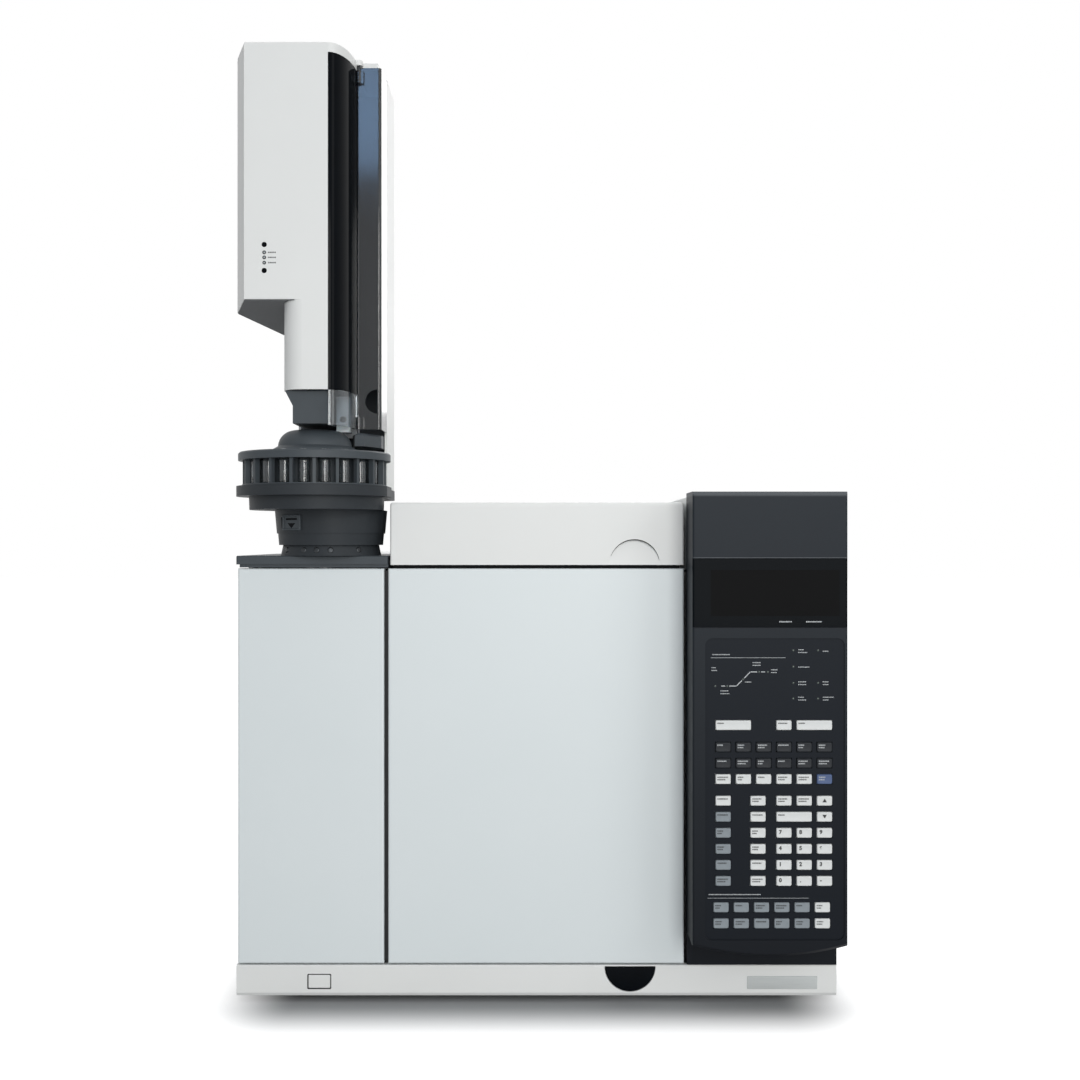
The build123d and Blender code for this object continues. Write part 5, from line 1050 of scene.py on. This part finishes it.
# butyl rubber faced with a thin matt skin
septum_rubber = grained(
    "red_septum_rubber", {"IOR": 1.5}, ("#7E2E26", "#96382E"), (0.6, 0.75), 2, 0.5, 0.02
)

# a thin solvent, nearly colourless, with a flat mirror-like top
sample_liquid = grained(
    "clear_solvent", {"IOR": 1.36, "Transmission Weight": 0.9}, ("#B9BEC0", "#C8CCCE"), (0.0, 0.03), 10, 8,
    0.002,
)

glass_shape, cap_shape, septum_shape, liquid_shape = (bmesh.new() for _ in range(4))
for number in range(16):
    place = (*around(turret_x, turret_y, vial_circle, 144 + 18 * number), vial_base)
    turned(
        glass_shape,
        [
            (3.6, 0.5), (5.0, 0.0), (5.8, 0.9), (5.8, 20.5), (5.5, 22.6), (4.4, 24.6), (3.9, 25.6),
            (3.9, 27.4), (4.9, 27.8), (4.9, 30.6), (2.6, 30.8), (2.6, 25.0), (3.6, 23.6), (4.9, 21.0),
            (5.0, 1.9), (4.4, 1.1),
        ],
        place,
    )
    turned(liquid_shape, [(4.3, 1.2), (4.9, 2.0), (4.9, 15.0 + number % 3), (4.7, 15.1 + number % 3)], place)
    turned(
        cap_shape,
        [
            (4.3, 26.6), (4.9, 26.8), (5.3, 27.6), (5.4, 31.2), (5.1, 31.8), (4.6, 32.0), (2.9, 32.0),
            (2.8, 31.7), (2.8, 31.3),
        ],
        place,
    )
    turned(septum_shape, [(2.75, 30.9), (2.75, 31.5), (2.3, 31.6)], place)
as_piece("vial_bodies", glass_shape, vial_glass, "turret", "vials")
as_piece("vial_caps", cap_shape, crimp_aluminium, "turret")
as_piece("vial_septa", septum_shape, septum_rubber, "turret")
as_piece("vial_samples", liquid_shape, sample_liquid, "turret")

# raised position dots on the rim's edge, one for each hole
shape = bmesh.new()
for number in range(20):
    turn = 90 + 18 * number
    dot = (*around(turret_x, turret_y, 74.0 * mm, turn), 535.4 * mm)
    turned(shape, [(0.9, -0.6), (0.9, 0.05), (0.6, 0.2)], dot, (*around(0, 0, 1, turn), 0), 12)
as_piece("rim_position_dots", shape, tray_nylon, "turret")

# ---------------------------------------------------------------- tower column and mechanism
# Inside the tower a dark nylon channel carries two ground steel rods. One aluminium carriage
# lowers the glass syringe, the one above it works the plunger.

wear(tray_nylon, "tower_spine")

# blasted then clear anodised: pale, even, with a soft sheen
anodised_alloy = grained(
    "bead_blasted_anodised_aluminium", {"Metallic": 1.0}, ("#A2A6A9", "#B4B7B9"), (0.36, 0.46), 10, 0.6,
    0.01,
)
wear(anodised_alloy, "syringe_carriage", "plunger_carriage", "needle_guide")

syringe_x, syringe_y = -219 * mm, -143 * mm
barrel_base = 662 * mm
# thick clear tube with a faint ripple from drawing
barrel_glass = grained(
    "ground_borosilicate_barrel", {"IOR": 1.47, "Transmission Weight": 0.92}, ("#E8EEF0", "#F4F8FA"),
    (0.0, 0.04), 10, 7, 0.005,
)
shape = bmesh.new()
turned(
    shape,
    [
        (2.2, 0.0), (3.3, 0.8), (3.3, 54.0), (3.6, 55.6), (5.3, 56.2), (5.5, 57.4), (5.3, 58.6),
        (1.1, 59.0), (1.1, 20.0),
    ],
    (syringe_x, syringe_y, barrel_base),
    steps=32,
)
as_piece("syringe_barrel", shape, barrel_glass, "syringe_lift", "syringe")
shape = bmesh.new()
turned(
    shape, [(0.15, -70.0), (0.4, -69.0), (0.4, -6.0), (2.0, -6.0), (2.0, -0.6), (2.3, 0.3)],
    (syringe_x, syringe_y, barrel_base),
)
as_piece("syringe_needle", shape, turned_steel, "syringe_lift")
shape = bmesh.new()
for step in range(26):
    long_mark = step % 5 == 0
    stroke(
        shape,
        [
            (syringe_x - (2.2 if long_mark else 1.2) * mm, barrel_base + (10 + 1.6 * step) * mm),
            (syringe_x + (2.2 if long_mark else 1.2) * mm, barrel_base + (10 + 1.6 * step) * mm),
        ],
        0.25 * mm,
        syringe_y - 3.34 * mm,
    )
as_piece("barrel_graduations", shape, dark_ink, "syringe_lift")

# a bent plate behind the clear length of the window, with a white fluoropolymer guide at its foot
bracket_left, bracket_right, bracket_y, arm_top = -197.6 * mm, -184.4 * mm, -201 * mm, 560 * mm
shape = bmesh.new()
bend = [(-190, 0.2), (-190, 1.7), (-199.4, 1.7), (-199.4, 36), (-201, 36), (-201, 0.9), (-200.4, 0.2)]
skin(shape, [[(x, y * mm, arm_top + z * mm) for y, z in bend] for x in (bracket_left, bracket_right)])
as_piece("guide_bracket", shape, anodised_alloy, "mainframe")

# waxy and milky, with faint tool marks
fluoropolymer = grained(
    "machined_white_fluoropolymer", {"IOR": 1.35, "Subsurface Weight": 0.1}, ("#DDE0E1", "#E8EAEA"),
    (0.35, 0.5), 3, 0.6, 0.01,
)
block_x, block_z = (bracket_left + bracket_right) / 2, arm_top + 3.6 * mm
block_steps = [(0, -201.2 * mm), (0, -207.4 * mm), (-0.6 * mm, -207.7 * mm)]
shape = bmesh.new()
moulded(shape, block_x, block_z, 12.6 * mm, 6.6 * mm, 0.8 * mm, block_steps)
as_piece("needle_guide_block", shape, fluoropolymer, "mainframe")
shape = bmesh.new()
screw(shape, (-190.6 * mm, bracket_y, arm_top + 13.5 * mm), (0, -1, 0), 0.95)
as_piece("bracket_screw", shape, black_oxide, "mainframe")

shape = bmesh.new()
screw(shape, (-192.5 * mm, -132.5 * mm, 575.5 * mm), (0, -1, 0), 1.1)
as_piece("column_screw", shape, screw_steel, "mainframe")
carriage_face = -131 * mm
shape = bmesh.new()
for z in (668, 702):
    for x in (-232, -206):
        screw(shape, (x * mm, carriage_face, z * mm), (0, -1, 0), 0.6)
as_piece("carriage_screws", shape, screw_steel, "syringe_lift")

# ---------------------------------------------------------------- tower head and back cover
# Two white ABS shells close the tower. The head's sloping underside is a separate grey textured
# plate, and its front carries three signal lights and two holes for the service key.

wear(white_abs, "tower_shell", "tower_back_cover")

head_front, nose_front, nose_slope = -250 * mm, 684 * mm, 15 / 103
# a coarse spark grain two millimetres across that keeps the underside dull
textured_abs = grained(
    "coarse_textured_grey_abs", {"IOR": 1.54, "Specular IOR Level": 0.3}, ("#5F6163", "#6E7072"),
    (0.6, 0.75), 3, 1.8, 0.12,
)
plan = [
    (-294.2, -207.2), (-278.6, -249.2), (-240.0, -249.2), (-231.0, -249.2), (-236.8, -247.6),
    (-242.0, -241.0), (-244.2, -232.0), (-244.2, -113.0), (-251.6, -113.0),
]
shape = bmesh.new()
skin(
    shape,
    [
        [(x * mm, y * mm, nose_front - nose_slope * (y * mm - head_front) + level) for x, y in plan]
        for level in (0.3 * mm, -0.8 * mm)
    ],
)
as_piece("nose_plate", shape, textured_abs, "mainframe")

light_x, light_heights = -259.7 * mm, (728.5, 723.7, 718.7)
shape = bmesh.new()
for z in light_heights:
    turned(
        shape, [(1.75, -2.6), (1.75, 0.1), (1.55, 0.3), (1.15, 0.3), (1.0, 0.1), (1.0, -2.0)],
        (light_x, head_front, z * mm), (0, -1, 0), 20,
    )
# the two service-key holes as gloss black cups: painted shade for their depth
for z in (736, 711.2):
    turned(
        shape, [(2.45, -2.9), (2.45, -0.1), (2.1, -0.1), (1.9, -1.0)], (light_x, head_front, z * mm),
        (0, -1, 0), 20,
    )
as_piece("head_bezels_and_hole_shade", shape, gloss_black, "mainframe")
# unlit milky epoxy, a soft grey dot inside its black ring
clear_lens = grained(
    "diffuse_white_light_lens", {"IOR": 1.5, "Coat Weight": 0.3}, ("#8B9193", "#A2A7A9"), (0.2, 0.3), 1,
    0.8, 0.005,
)
shape = bmesh.new()
for z in light_heights:
    turned(
        shape, [(1.1, -2.0), (1.1, 0.12), (0.9, 0.35), (0.4, 0.45)], (light_x, head_front, z * mm),
        (0, -1, 0), 16,
    )
as_piece("head_lights", shape, clear_lens, "mainframe")
shape = bmesh.new()
for z in light_heights:
    marks(shape, light_x + 3.6 * mm, z * mm, 7.5 * mm, 1.3 * mm, head_front - 0.04 * mm)
as_piece("head_light_marks", shape, dark_ink, "mainframe")

# screws that hold the back cover, and the button heads on top of the head
cover_back, head_top = -60 * mm, 928.9 * mm
shape = bmesh.new()
for x in (-228, -178):
    for z in (530, 700, 900):
        screw(shape, (x * mm, cover_back, z * mm), (0, 1, 0), 0.8)
for x, y in ((-270, -215), (-240, -130)):
    screw(shape, (x * mm, y * mm, head_top), (0, 0, 1), 0.65)
as_piece("tower_screws", shape, screw_steel, "mainframe")

# ---------------------------------------------------------------- tower window and door
# The window is one curved acrylic strip, painted black behind down to the neck and left smoked
# clear below. The door beside it is smoked acrylic all over, on two small steel pins.

strip_x, strip_y = -199 * mm, -195 * mm
strip_width, strip_depth, strip_wall = 20.5 * mm, 55 * mm, 3 * mm


def curved_pane(low, high):
    """A shape for one length of the strip, its section a quarter of an ellipse."""
    section = []
    for grow, steps in ((0.0, range(25)), (strip_wall, range(24, -1, -1))):
        for step in steps:
            turn = math.radians(-89.2 + 88.0 * step / 24)
            section.append(
                (
                    strip_x + (strip_width - grow) * math.cos(turn),
                    strip_y + (strip_depth - grow) * math.sin(turn),
                )
            )
    shape = bmesh.new()
    skin(shape, [[(x, y, z) for x, y in section] for z in (low, low + 0.5 * mm, high - 0.5 * mm, high)])
    return shape


upper_pane = curved_pane(598 * mm, 919.7 * mm)
as_piece("window_painted_part", upper_pane, gloss_black, "mainframe", "tower_window")

# cast sheet with a grey dye: glossy and see-through, with a slow ripple along its length
smoked_acrylic = grained(
    "smoked_clear_acrylic", {"IOR": 1.49, "Transmission Weight": 0.85, "Specular IOR Level": 0.25},
    ("#4A4F55", "#545A60"), (0.07, 0.14), 60, 30, 0.02,
)
wear(smoked_acrylic, "tower_door")
# the unpainted end of the strip: a faint blue-grey tint, with the same slow ripple
clear_acrylic = grained(
    "lightly_tinted_clear_acrylic", {"IOR": 1.49, "Transmission Weight": 0.95, "Specular IOR Level": 0.25},
    ("#A3ABB1", "#B0B8BD"), (0.04, 0.1), 60, 30, 0.02,
)
lower_pane = curved_pane(564 * mm, 597.5 * mm)
as_piece("window_clear_part", lower_pane, clear_acrylic, "mainframe", "tower_window")
